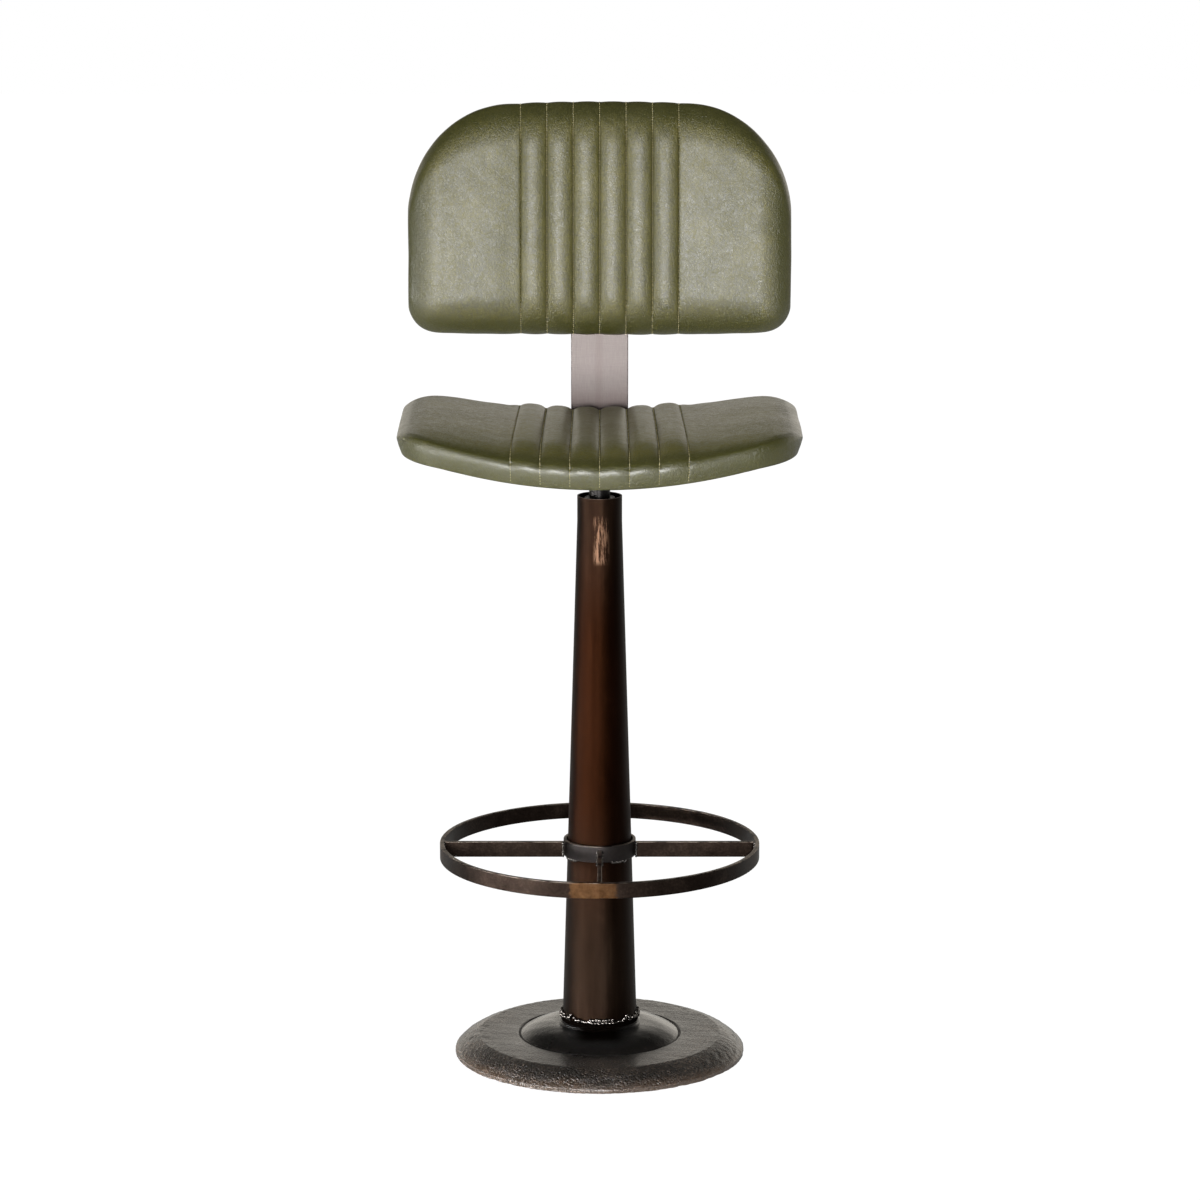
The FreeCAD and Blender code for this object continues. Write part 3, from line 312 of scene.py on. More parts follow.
def ring_steel(name, top, patched, bare):
    """Blackened flat bar with a lighter top edge up to the given height, part rubbed metal and part painted
    highlight, and one worn bronze patch at the front.
    """
    s = Shader(name)
    x, y, z = s.axes()
    clouds = s.noise(28.0, 5.0, 0.62, 0.5)
    fine = s.noise(340.0, 4.0, 0.65)
    tone = s.add(s.even(clouds, 0.0, 0.65), s.span(fine, 0.35, 0.65, 0.0, 0.35))
    s.colour = s.ramp(
        tone, (0.0, (0.010, 0.0065, 0.0048)), (0.55, (0.024, 0.0165, 0.013)), (1.0, (0.050, 0.035, 0.027))
    )
    s.paint(bare, (0.050, 0.047, 0.048))
    if patched:
        ragged = s.times(s.add(fine, -0.5), 0.012)
        across = s.maths("ABSOLUTE", s.add(x, -PATCH_AT, ragged))
        patch = s.times(
            s.ease(across, PATCH_HALF - 0.003, PATCH_HALF + 0.003, 1.0, 0.0),
            s.span(y, PATCH_FRONT, PATCH_FRONT - 0.004),
        )
        worn = s.ramp(s.noise(120.0, 4.0, 0.65), (0.3, (0.040, 0.019, 0.008)), (0.7, (0.094, 0.048, 0.022)))
        s.paint(patch, worn)
    # Lighter top edge: part rubbed metal, part painted highlight
    edge = s.times(s.span(z, top - 0.0011, top - 0.0003), s.span(s.noise(60.0, 4.0, 0.7), 0.38, 0.56))
    s.paint(s.times(edge, 0.85), (0.30, 0.25, 0.21))
    return s.finish(s.even(clouds, 0.34, 0.50), fine, 0.0004, 0.35, Metallic=1.0)


def cast_iron(name):
    """Painted casting: grainy, smoother on the raised middle with a darker hub, painted shade in the groove
    and on the front of the dome, browner towards the floor.
    """
    s = Shader(name)
    x, y, z = s.axes()
    radius = s.maths("SQRT", s.add(s.times(x, x), s.times(y, y)))
    clouds = s.noise(14.0, 6.0, 0.65, 0.5)
    grit = s.noise(440.0, 4.0, 0.7)
    outer = s.ease(radius, 0.085, 0.135)
    tone = s.add(s.even(clouds, 0.0, 0.42), s.span(grit, 0.38, 0.62, 0.0, 0.58))
    smooth = s.ramp(
        tone, (0.0, (0.0005, 0.0004, 0.0003)), (0.6, (0.001, 0.0008, 0.0007)), (1.0, (0.004, 0.0032, 0.0027))
    )
    coarse = s.ramp(
        tone, (0.3, (0.002, 0.0015, 0.0012)), (0.58, (0.014, 0.0105, 0.008)), (0.9, (0.11, 0.080, 0.060))
    )
    s.colour = s.blend(outer, smooth, coarse)
    low = s.add(z, s.times(s.add(clouds, -0.5), 0.03))
    rust = s.times(s.ease(low, RUST_HEIGHT, 0.002, 0.0, 0.8), s.span(grit, 0.3, 0.6, 0.4, 1.0))
    s.paint(rust, (0.105, 0.062, 0.036))
    # Darker hub wall above the lip
    ledge = s.span(radius, LEDGE_RADIUS + 0.0006, LEDGE_RADIUS)
    ledge = s.times(ledge, s.span(z, HUB_LEDGE, HUB_LEDGE + 0.0006))
    # Painted shade in the groove
    painted_groove_shade = s.ease(s.gap(radius, GROOVE_RADIUS), 0.0012, 0.0024, 1.0, 0.0)
    # Painted shade: the front of the dome is made black and dull, standing in for the dark reflection there
    painted_front_shade = s.times(
        s.ease(radius, 0.098, 0.066), s.ease(y, -0.010, -0.030), s.ease(s.gap(x), 0.016, 0.060, 1.0, 0.0)
    )
    # Mask of the darker hub and the painted shade; it also takes away the gloss there
    dark_hub_and_painted_shade = s.maths("MAXIMUM", s.maths("MAXIMUM", ledge, s.times(painted_groove_shade, 0.35)), painted_front_shade)
    s.paint(dark_hub_and_painted_shade, (0.0015, 0.001, 0.0008))
    rough = s.add(s.span(outer, 0.0, 1.0, 0.27, 0.37), s.even(clouds, -0.05, 0.05))
    relief = s.add(s.times(grit, 0.8), s.span(s.cells(250.0), 0.0, 0.5, 0.0, 0.6))
    height = s.times(relief, s.span(outer, 0.0, 1.0, 0.12, 1.1))
    return s.finish(
        s.span(dark_hub_and_painted_shade, 0.0, 1.0, rough, 0.85), height, 0.0019, 0.9,
        Specular_IOR_Level=s.span(dark_hub_and_painted_shade, 0.0, 1.0, 0.8, 0.0), Coat_Weight=s.span(dark_hub_and_painted_shade, 0.0, 1.0, 0.9, 0.0),
        Coat_Roughness=s.span(outer, 0.0, 1.0, 0.22, 0.25),
    )


def brushed_steel(name):
    """Raw flat bar: fine long marks, a faint centre line and heat tint near the seat."""
    s = Shader(name)
    x, _, z = s.axes()
    marks = s.noise(900.0, 3.0, 0.7, at=s.mapped((1.0, 1.0, 0.03)))
    cross = s.noise(700.0, 3.0, 0.7, at=s.mapped((0.06, 1.0, 1.0)))
    clouds = s.noise(26.0, 5.0, 0.6, 0.4)
    tone = s.add(s.even(marks, 0.0, 0.4), s.even(clouds, 0.0, 0.35), s.even(cross, 0.0, 0.25))
    s.colour = s.ramp(
        tone, (0.0, (0.095, 0.080, 0.077)), (0.5, (0.145, 0.125, 0.119)), (1.0, (0.205, 0.180, 0.171))
    )
    line = s.ease(s.gap(x, CENTRE_LINE), 0.001, 0.007, 0.22, 0.0)
    s.paint(line, (0.08, 0.055, 0.05))
    tint = s.ease(s.add(z, s.times(clouds, 0.02)), TINT_HEIGHT, TINT_HEIGHT - 0.030, 0.0, 0.3)
    s.paint(tint, (0.13, 0.088, 0.082))
    return s.finish(s.span(tone, 0.0, 1.0, 0.40, 0.54), s.add(marks, cross), 0.0001, 0.5, Metallic=0.75)


def plain_metal(name, dark, light, roughness, metallic=0.9, scale=60.0, coat=0.0):
    """Turned or plated metal with slight clouding and fine marks."""
    s = Shader(name)
    fine = s.noise(14.0 * scale, 3.0, 0.6)
    s.colour = s.ramp(s.noise(scale, 5.0, 0.6, 0.4), (NOISE_LOW, dark), (NOISE_HIGH, light))
    rough = s.even(fine, roughness - 0.06, roughness + 0.08)
    return s.finish(rough, fine, 0.0002, 0.4, Metallic=metallic, Coat_Weight=coat, Coat_Roughness=0.1)


def plywood(name):
    """Birch ply: glued layers on the edge and long grain on the faces."""
    s = Shader(name)
    grain = s.noise(240.0, 5.0, 0.65, 0.4, s.mapped((0.08, 1.0, 1.0)))
    inputs = {"Vector": s.places["Object"], "Scale": 190.0, "Distortion": 0.4}
    layers = s.node("TexWave", inputs, bands_direction="Z").outputs["Fac"]
    s.colour = s.ramp(grain, (0.3, (0.36, 0.24, 0.13)), (0.7, (0.56, 0.42, 0.26)))
    s.paint(s.even(layers, 0.0, 0.35), (0.22, 0.13, 0.07))
    return s.finish(0.68, grain, 0.0004, 0.5)


def cloth(name, dark, light):
    """Thin bonded cloth."""
    s = Shader(name)
    fibres = s.noise(900.0, 4.0, 0.75, 1.2)
    relief = s.add(fibres, s.span(s.cells(450.0, randomness=0.2), 0.0, 0.4, 0.0, 0.6))
    s.colour = s.ramp(fibres, (0.35, dark), (0.65, light))
    return s.finish(0.88, relief, 0.0005, 0.7, Sheen_Weight=0.15)


def rubber(name):
    s = Shader(name)
    s.colour = s.ramp(s.noise(24.0, 4.0, 0.6), (0.35, (0.012, 0.012, 0.012)), (0.7, (0.040, 0.038, 0.035)))
    return s.finish(0.8, s.noise(700.0, 4.0, 0.7), 0.0005, 0.6)


OLIVE_DARK, OLIVE, OLIVE_LIGHT = (0.037, 0.038, 0.003), (0.078, 0.071, 0.008), (0.150, 0.133, 0.030)
hide = leather("waxed_olive_leather", OLIVE_DARK, OLIVE, OLIVE_LIGHT, 0.40)
seam_thread = thread("linen_thread", (0.50, 0.43, 0.21))
weld_metal = plain_metal("weld_bead", (0.016, 0.012, 0.010), (0.22, 0.20, 0.185), 0.17, 1.0, 150.0, 0.5)
cover_cloth = cloth("dust_cloth_black", (0.010, 0.010, 0.011), (0.032, 0.032, 0.034))
wire_metal = plain_metal("staple_wire", (0.42, 0.42, 0.43), (0.62, 0.62, 0.63), 0.3)

# Each material and the parts from FreeCAD that it is for
CAD_FINISH = (
    (column_steel("bronzed_tube"), "column_tube"),
    (
        ring_steel("blackened_bar", RING_TOP, True, 0.0),
        "foot_ring front_spoke rear_spoke left_spoke right_spoke",
    ),
    (ring_steel("blackened_collar", COLLAR_TOP, False, 0.55), "collar"),
    (brushed_steel("raw_flat_bar"), "back_strap"),
    (plain_metal("plate_black", (0.020, 0.018, 0.017), (0.055, 0.050, 0.047), 0.42, 0.7), "seat_plate"),
    (plain_metal("spindle_black", (0.010, 0.009, 0.009), (0.030, 0.027, 0.025), 0.3, 0.8), "spindle"),
    (plain_metal("turned_steel", (0.20, 0.19, 0.18), (0.34, 0.33, 0.32), 0.34), "bearing_sleeve"),
    (
        plain_metal("bearing_bronze", (0.22, 0.13, 0.05), (0.38, 0.24, 0.10), 0.36),
        "upper_bush lower_bush thrust_washer",
    ),
    (
        plain_metal("bolt_black_oxide", (0.020, 0.020, 0.021), (0.060, 0.060, 0.062), 0.33),
        "seat_bolts back_bolts seat_washers back_washers",
    ),
    (plain_metal("zinc_plate", (0.38, 0.39, 0.40), (0.58, 0.59, 0.60), 0.3), "seat_t_nuts back_t_nuts"),
    (plain_metal("spring_steel", (0.10, 0.10, 0.11), (0.20, 0.20, 0.21), 0.3), "retaining_ring"),
    (plywood("birch_ply"), "seat_board back_board"),
    (rubber("floor_rubber"), "floor_pad"),
)
for finish, node_names in CAD_FINISH:
    for node_name in node_names.split():
        for material_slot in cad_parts[node_name].material_slots:
            material_slot.material = finish


# Mesh helpers


def make_piece(name, points, faces, material, body, smooth=True):
    """Object from millimetre points, riding on a body."""
    mesh = bpy.data.meshes.new(name)
    mesh.from_pydata((np.asarray(points) * MM).tolist(), [], faces)
    mesh.materials.append(material)
    mesh.polygons.foreach_set("use_smooth", [smooth] * len(mesh.polygons))
    mesh.update()
    piece = add_object(name, mesh)
    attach(piece, body)
    return piece


def add_values(piece, name, values):
    attribute = piece.data.attributes.new(name, "FLOAT", "POINT")
    attribute.data.foreach_set("value", np.asarray(values, np.float32))


def smoothstep(values, low, high):
    share = np.clip((values - low) / (high - low), 0.0, 1.0)
    return share * share * (3.0 - 2.0 * share)


def waves(points, length, seed):
    """Smooth, repeatable unevenness between about -1 and 1, with bumps of about the given length."""
    total = np.zeros(len(points))
    for step in range(5):
        angle, tilt = 1.9 * step + seed, 1.1 * step + 0.7 * seed
        flat = math.cos(tilt)
        direction = np.array([math.cos(angle) * flat, math.sin(angle) * flat, math.sin(tilt)])
        total += np.sin(points @ direction * (TURN / (length * (0.8 + 0.17 * step))) + 2.3 * step * seed)
    return total / 3.2


def run_lengths(line):
    """Distance of each point of a line from its start."""
    return np.concatenate([[0.0], np.cumsum(np.linalg.norm(np.diff(line, axis=0), axis=1))])


def points_at(at, steps, line):
    """Places on a line at the given distances from its start."""
    return np.stack([np.interp(at, steps, part) for part in line.T], axis=-1)


def unit(vectors):
    return vectors / np.linalg.norm(vectors, axis=1)[:, None]


def faces_of(*corners):
    """Faces from equal grids of the numbers of their corners."""
    return np.stack([np.ravel(corner) for corner in corners], axis=1)


def ring_walls(sides, rings):
    """Grid of point numbers, ring by ring, and the quads between the rings."""
    grid = np.arange(sides * rings).reshape(rings, sides)
    ahead = np.roll(grid, -1, axis=1)
    return grid, ahead, faces_of(grid[:-1], ahead[:-1], ahead[1:], grid[1:]).tolist()


def bar_faces(sides, rings):
    """Faces of a closed bar that is made of rings of points."""
    grid, _, walls = ring_walls(sides, rings)
    return walls + [grid[0, ::-1].tolist(), grid[-1].tolist()]


def flip(faces):
    return [face[::-1] for face in faces]


def gathered(numbers, vectors, count):
    """Sum of the vectors that go to each number."""
    return np.stack([np.bincount(numbers, part, count) for part in vectors.T], axis=1)


def vertex_normals(points, quads):
    """Area-weighted normals of a mesh of quads."""
    across = points[quads[:, 2]] - points[quads[:, 0]]
    along = points[quads[:, 3]] - points[quads[:, 1]]
    face_normals = np.cross(across, along)
    normals = sum(gathered(corner, face_normals, len(points)) for corner in quads.T)
    return normals / np.maximum(np.linalg.norm(normals, axis=1), 1e-9)[:, None]


def relax(points, quads, weight, steps):
    """Move each point towards the mean of its neighbours, by its weight."""
    edges = np.concatenate([quads[:, [0, 1]], quads[:, [1, 2]], quads[:, [2, 3]], quads[:, [3, 0]]])
    edges = np.unique(np.sort(edges[(weight > 0.0)[edges].any(axis=1)], axis=1), axis=0)
    used, edges = np.unique(edges, return_inverse=True)
    edges = edges.reshape(-1, 2)
    first, second = edges.T
    part, share = points[used], weight[used][:, None]
    count = np.bincount(edges.ravel(), minlength=len(used))[:, None]
    for _ in range(steps):
        mean = gathered(first, part[second], len(used)) + gathered(second, part[first], len(used))
        part = part + share * (mean / count - part)
    points = points.copy()
    points[used] = part
    return points


# Cushions


def bow(distance, radius):
    return radius - np.sqrt(radius**2 - distance**2)


def corner_drop(distance, half, corner):
    inside = np.maximum(0.0, distance - (half - corner))
    return corner - np.sqrt(np.maximum(corner**2 - inside**2, 0.0))


def arc_points(start, end, radius, side, steps=24):
    """Arc from start to end that bulges to the left (side 1) or right (side -1)."""
    start, end = np.array(start, float), np.array(end, float)
    chord = end - start
    half = np.linalg.norm(chord) / 2.0
    left = np.array([-chord[1], chord[0]]) / (2.0 * half)
    centre = (start + end) / 2.0 - left * side * math.sqrt(radius**2 - half**2)
    first = math.atan2(*(start - centre)[::-1])
    turn = math.atan2(*(end - centre)[::-1]) - first
    turn -= TURN * round(turn / TURN)
    angles = first + turn * np.linspace(0.0, 1.0, steps)
    return centre + radius * np.stack([np.cos(angles), np.sin(angles)], axis=1)


def plan_ends(form, reach):
    """Both ends of a cushion's outline at a distance from the middle."""
    low, high, low_bow, high_bow, low_corner, high_corner = form["plan"][:6]
    near = low + bow(reach, low_bow) + corner_drop(reach, form["half"], low_corner)
    return near, high - bow(reach, high_bow) - corner_drop(reach, form["half"], high_corner)


def board_outline(form, count=420):
    """Even points round a board: bowed ends, straight sides and wide corner arcs."""
    low, high, low_bow, high_bow, low_corner, high_corner, low_arc, high_arc = form["plan"]
    half, low, high = form["half"] - MARGIN, low + MARGIN, high - MARGIN
    near, far = np.linspace(0.0, half - low_corner, 60), np.linspace(half - high_corner, 0.0, 60)
    lower = np.column_stack([near, low + bow(near, low_bow)])
    upper = np.column_stack([far, high - bow(far, high_bow)])
    sides = np.array([
        (half, low + low_corner + bow(half, low_bow)), (half, high - high_corner - bow(half, high_bow)),
    ])
    right = np.vstack([
        lower, arc_points(lower[-1], sides[0], low_arc, -1)[1:], sides[1:],
        arc_points(sides[1], upper[0], high_arc, -1)[1:], upper[1:],
    ])
    loop = np.vstack([right, right[::-1][1:] * np.array([-1.0, 1.0])])
    steps = run_lengths(loop)
    return points_at(np.linspace(0.0, steps[-1], count, endpoint=False), steps, loop)


def outer_line(form):
    """Distance of the outermost sewn lines from the middle."""
    return 0.5 * CHANNELS * form["pitch"]


def side_share(form, reach):
    """1 up to where the side rolls over and 0 at the side's end, on a quarter round."""
    into = np.maximum(0.0, (reach - (form["half"] - form["side_roll"])) / (form["side_roll"] + SIDE_LIP))
    return np.sqrt(1.0 - into**2)


def column_places(form):
    """Distances from the middle, close together at the sewn lines and at the sides."""
    roll, outer = form["side_roll"], outer_line(form)
    near = [0.0, 0.5, 1.0, 1.6, 2.4, 3.4, 4.8, 6.6, 8.8, 11.2, 13.8]
    places = {seam * form["pitch"] + side * step for seam in SEAMS for step in near for side in (-1, 1)}
    places = {round(place, 3) for place in places if abs(place) <= outer + 1e-6}
    flat = form["half"] - roll
    panel = [outer + step for step in near + [16.6, 19.6]]
    panel += list(np.linspace(outer + 22.0, flat, int((flat - outer - 22.0) / 2.6) + 1))
    panel += [flat + roll * math.sin(share * QUARTER) for share in np.linspace(0.06, 1.0, 20)]
    for place in panel:
        places |= {round(place, 3), round(-place, 3)}
    return np.array(sorted(places))


def channel_share(distance, pitch):
    """0 in the middle of a channel and 1 on a sewn line, up to the outer lines."""
    return np.abs(((distance / pitch) % 1.0) * 2.0 - 1.0)


def panel_sink(beyond):
    """How far the side panels lie below the channels, at a distance beyond the outermost line."""
    return PANEL_DROP * np.sin(np.clip(beyond / PANEL_RISE, 0.0, 1.0) * QUARTER)


def pad_surface(form, near, far, lift, shrink, rolls, fall, columns, rows):
    """Top grid of a pad in its own (across, along, height) space."""
    half, reach, outer = form["half"], np.abs(columns), outer_line(form)
    side = side_share(form, reach)
    nose = form["side_nose"] + (form["nose"] - form["side_nose"]) * side
    base = lift + (1.0 - side) * form["side_raise"]
    outward = np.clip((reach - outer) / (half - outer), 0.0, 1.0)
    sink = panel_sink(reach - outer) + form["side_fall"] * outward**2
    top = base + EDGE + (form["full"] - sink - EDGE) * side
    run_near, run_far = rolls[0] * shrink, rolls[1] * shrink
    turn = np.linspace(0.0, 1.0, rows)
    share = turn - 0.5 * np.sin(TURN * turn) / TURN
    along = near[:, None] + (far - near)[:, None] * share[None, :]
    face_near, face_far = top, top - fall * side
    start = base + nose
    middle_near, middle_far = near + run_near, far - run_far
    inner = np.clip((along - middle_near[:, None]) / (middle_far - middle_near)[:, None], 0.0, 1.0)
    height = face_near[:, None] + (face_far - face_near)[:, None] * inner
    height += CROWN * side[:, None] * (1.0 - (2.0 * inner - 1.0) ** 2)
    for edge_along, run, face, sign in ((near, run_near, face_near, 1.0), (far, run_far, face_far, -1.0)):
        rise = np.maximum(face - start, 0.5)
        radius = (run**2 + rise**2) / (2.0 * rise)
        left = np.maximum(0.0, run[:, None] - sign * (along - edge_along[:, None]))
        drop = radius[:, None] - np.sqrt(np.maximum(radius[:, None] ** 2 - left**2, 0.0))
        height = height - drop
    for _ in range(40):
        height[:, 1:-1] += 0.5 * (0.5 * (height[:, :-2] + height[:, 2:]) - height[:, 1:-1])
    slant = form.get("fan", 0.0) * columns / form["pitch"]
    fade = np.clip((half - reach) / (half - outer), 0.0, 1.0) * outer / np.maximum(reach, 1.0)
    across = columns[:, None] + (slant * np.where(reach <= outer, 1.0, fade))[:, None] * along
    return across, along, height


def ring_set(edge, outward, edge_height, lift_at, form):
    """Rings down the rim, under the edge and up the sides of the pocket, with their share of the way down."""
    rings, shares = [], []
    board = board_outline(form, 1500)
    clear = np.linalg.norm(edge[:, None, :2] - board[None, :, :], axis=2).min(axis=1)[:, None]
    reach = np.abs(edge[:, 0] - outward[:, 0] * MARGIN)
    inner_lift = lift_at(reach) - 0.4 - form["droop"] * smoothstep(reach, 175.0, 225.0)
    for share in np.linspace(0.0, 1.0, RIM_RINGS + 1)[1:]:
        ring = edge - outward * (np.minimum(TUCK, clear - 1.8) * share**1.7)
        ring_lift = lift_at(np.abs(ring[:, 0])) * (1.0 - share**2) + inner_lift * share**2
        ring[:, 2] = ring_lift + edge_height * (1.0 - share)
        rings.append(ring)
        shares.append(share)
    for short, rise in ((0.9, 0.0), (POCKET_GAP, 0.6), (POCKET_GAP, form["board"] + POCKET_GAP)):
        ring = edge - outward * (clear - short)
        ring[:, 2] = lift_at(np.abs(ring[:, 0])) + rise
        rings.append(ring)
        shares.append(1.0)
    return rings, shares


def rounding(distance, width):
    """How far a corner gives way at a distance from it, when it is rounded over a width."""
    share = distance / width
    tail = 0.5 * (1.0 - np.tanh(0.7978845608 * (share + 0.044715 * share**3)))
    return width * np.exp(-0.5 * share**2) / math.sqrt(TURN) - distance * tail


def pad_faces(grid, loop, near_loop, far_loop, ring_count):
    """Quads of top, rings and pocket ceiling, and all faces with the ceiling's two many-cornered ends."""
    quads = [faces_of(grid[:-1, :-1], grid[1:, :-1], grid[1:, 1:], grid[:-1, 1:])]
    around = len(loop)
    previous = loop
    for index in range(ring_count):
        current = np.arange(around) + grid.size + index * around
        quads.append(faces_of(current, np.roll(current, -1), np.roll(previous, -1), previous))
        previous = current
    lower, upper = previous[near_loop], previous[far_loop]
    quads = np.concatenate([*quads, faces_of(lower[1:-2], upper[1:-2], upper[2:-1], lower[2:-1])])
    left = [*previous[far_loop[0]:], previous[0], lower[1], upper[1]]
    right = [lower[-2], *previous[near_loop[-1]:far_loop[-1] + 1], upper[-2]]
    return quads, quads.tolist() + [[int(corner) for corner in end] for end in (left, right)]


def build_pad(form, lift_at, rolls, fall, relief_ends, rows, seed):
    """Cushion mesh in its own space: points, faces, wear and painted seam shade for the leather, sewn lines
    and normals.
    """
    columns = column_places(form)
    count, reach = len(columns), np.abs(columns)
    (near, far), lift = plan_ends(form, reach), lift_at(reach)
    shrink = (far - near) / (far - near).max()
    across, along, height = pad_surface(form, near, far, lift, shrink, rolls, fall, columns, rows)
    points = np.stack([across, along, height], axis=2).reshape(-1, 3)
    grid = np.arange(count * rows).reshape(count, rows)
    # Round the boundary: near edge, right side, far edge, left side
    loop = np.concatenate([grid[:, 0], grid[-1, 1:], grid[-2::-1, -1], grid[0, -2:0:-1]])
    loop_column, loop_row = np.divmod(loop, rows)
    edge = points[loop]
    forward = np.roll(edge, -1, axis=0) - np.roll(edge, 1, axis=0)
    outward = unit(np.stack([forward[:, 1], -forward[:, 0], np.zeros(len(edge))], axis=1))
    edge_height = edge[:, 2] - lift_at(np.abs(edge[:, 0]))
    rings, ring_share = ring_set(edge, outward, edge_height, lift_at, form)

    # The corner between top and rim gives way like padding
    full_side = side_share(form, reach)[loop_column]
    give = np.zeros_like(edge)
    turns = np.where(loop_row == 0, rolls[0], rolls[1])
    rise = np.maximum(form["full"] - form["nose"], 1.0) * full_side
    slope = 2.0 * np.arctan2(rise, turns * shrink[loop_column])
    at_end = ((loop_row == 0) | (loop_row == rows - 1)) * full_side
    give[:, :2] = -outward[:, :2] * (np.cos(slope) * at_end)[:, None]
    give[:, 2] = -(1.0 - np.sin(slope)) * at_end
    width = NOSE_WIDTH * edge_height + NOSE_LEAST
    near_loop = np.arange(count)
    far_loop = 2 * count + rows - 3 - near_loop
    for spots, edge_along, sign in ((near_loop, near, 1.0), (far_loop, far, -1.0)):
        lean = np.abs(outward[spots, 1])[:, None]
        away = sign * (along - edge_along[:, None]) * lean / np.cos(slope[spots])[:, None]
        moved = rounding(np.maximum(away, 0.0), width[spots][:, None])
        points = points + (moved[:, :, None] * give[spots][:, None, :]).reshape(-1, 3)
    for ring, share in zip(rings, ring_share):
        ring += rounding(share * edge_height, width)[:, None] * give * (1.0 - share**3)

    quads, faces = pad_faces(grid, loop, near_loop, far_loop, len(rings))
    size, around = count * rows, len(loop)
    points = np.concatenate([points, *rings])

    # Where each point is: share of the way down the rim, distance from it and from the sewn lines
    spot = np.concatenate([np.repeat(np.arange(count), rows), np.tile(loop_column, len(rings))])
    distance = np.abs(columns[spot])
    on_rings = np.zeros(len(points) - size)
    rim_share = np.concatenate([np.zeros(size), np.repeat(ring_share, around)])
    from_near = np.concatenate([along.ravel() - np.repeat(near, rows), on_rings])
    from_far = np.concatenate([np.repeat(far, rows) - along.ravel(), on_rings])
    at_far = np.concatenate([np.zeros(size), np.tile(loop_row > rows // 2, len(rings))])

    # Soften the rim
    to_edge = np.minimum(np.minimum(from_near, from_far), form["half"] - distance)
    inner, outer_end, steps = form["soft"]
    on_rim = np.clip(1.0 - 1.6 * rim_share, 0.0, 1.0)
    soft = np.where(rim_share > 0.0, on_rim, 1.0 - smoothstep(to_edge, inner, outer_end))
    points = relax(points, quads, 0.5 * soft, steps)

    # Sewn channels, sunk along the surface's own direction
    share = channel_share(distance, form["pitch"])
    beyond = distance - outer_line(form)
    in_ribs = beyond <= 1e-6
    rib = SEAM_DEPTH * (0.55 * share**2.0 + 0.45 * share**4.0)
    line_gap = np.where(in_ribs, (1.0 - share) * form["pitch"] / 2.0, beyond)
    beyond = np.maximum(beyond, 0.0)
    panel = PANEL_DROP - panel_sink(beyond) + PANEL_SEAM * (1.0 - smoothstep(beyond, 0.0, PANEL_SEAM_RUN))
    panel += FOLD * np.exp(-beyond / FOLD_RUN)
    panel += form["dip"] * smoothstep(beyond, 0.0, 16.0) * (1.0 - smoothstep(beyond, 34.0, 92.0))
    crease = np.exp(-(line_gap**2))
    relief = np.where(in_ribs, rib, panel) + CREASE * crease
    near_end, far_end, near_run, far_run = relief_ends
    strength = near_end + (1.0 - near_end) * smoothstep(from_near, 0.0, near_run)
    strength *= far_end + (1.0 - far_end) * smoothstep(from_far, 0.0, far_run)
    rim_strength = np.where(at_far > 0.5, far_end, near_end) * np.clip(1.0 - 0.9 * rim_share, 0.0, 1.0)
    strength = np.where(rim_share > 0.0, rim_strength, strength)
    pucker = 1.0 + PUCKER * np.sin(TURN * points[:, 1] / (STITCH + STITCH_GAP)) * crease
    outside = rim_share < 0.999
    uneven = LONG_WAVE_DEPTH * waves(points, LONG_WAVE, seed)
    uneven += SHORT_WAVE_DEPTH * waves(points, SHORT_WAVE, seed + 1.0)
    uneven *= np.clip(1.0 - rim_share, 0.0, 1.0)
    sunk = (relief * strength * pucker - uneven) * outside
    moved = points - vertex_normals(points, quads) * sunk[:, None]
    # Values for the leather: rim wear, and painted shade along the sewn lines (crease)
    rim_wear_and_seam_shade = {
        "rim": np.clip(1.0 - smoothstep(to_edge, 4.0, 46.0) - 0.2 * rim_share, 0.0, 1.0),
        "crease": np.clip(crease * strength * 0.7, 0.0, 1.0) * outside,
    }
    tracks = []
    down = size + around * np.arange(RIM_RINGS - 1)
    for seam in SEAMS:
        column = np.argmin(np.abs(columns - seam * form["pitch"]))
        tracks.append(np.concatenate([down[::-1] + near_loop[column], grid[column], down + far_loop[column]]))
    return moved, faces, rim_wear_and_seam_shade, tracks, vertex_normals(moved, quads)


def stitches(points, normals, tracks):
    """Short rounded threads along the sewn lines, each sunk at its two ends."""
    all_points, faces = [], []
    one = bar_faces(STITCH_SIDES, STITCH_STATIONS)
    angles = np.linspace(0.0, TURN, STITCH_SIDES, endpoint=False)[None, :, None]
    hump = np.sin(np.linspace(0.0, math.pi, STITCH_STATIONS))
    thick = (STITCH_RADIUS * (0.55 + 0.45 * np.sqrt(hump)))[:, None, None]
    for track in tracks:
        line, up = points[track], normals[track]
        steps = run_lengths(line)
        start = 2.0
        while start + STITCH < steps[-1] - 2.0:
            at = np.linspace(start, start + STITCH, STITCH_STATIONS)
            centre, normal = points_at(at, steps, line), unit(points_at(at, steps, up))
            cross = np.cross(unit(np.gradient(centre, axis=0)), normal)
            centre = centre + normal * (STITCH_LIFT + 0.45 * hump - STITCH_SINK)[:, None]
            first = len(all_points) * STITCH_SIDES * STITCH_STATIONS
            ring = centre[:, None, :] + cross[:, None, :] * (np.cos(angles) * thick)
            all_points.append((ring + normal[:, None, :] * (np.sin(angles) * thick)).reshape(-1, 3))
            faces += [[first + corner for corner in face] for face in one]
            start += STITCH + STITCH_GAP
    return np.concatenate(all_points), faces


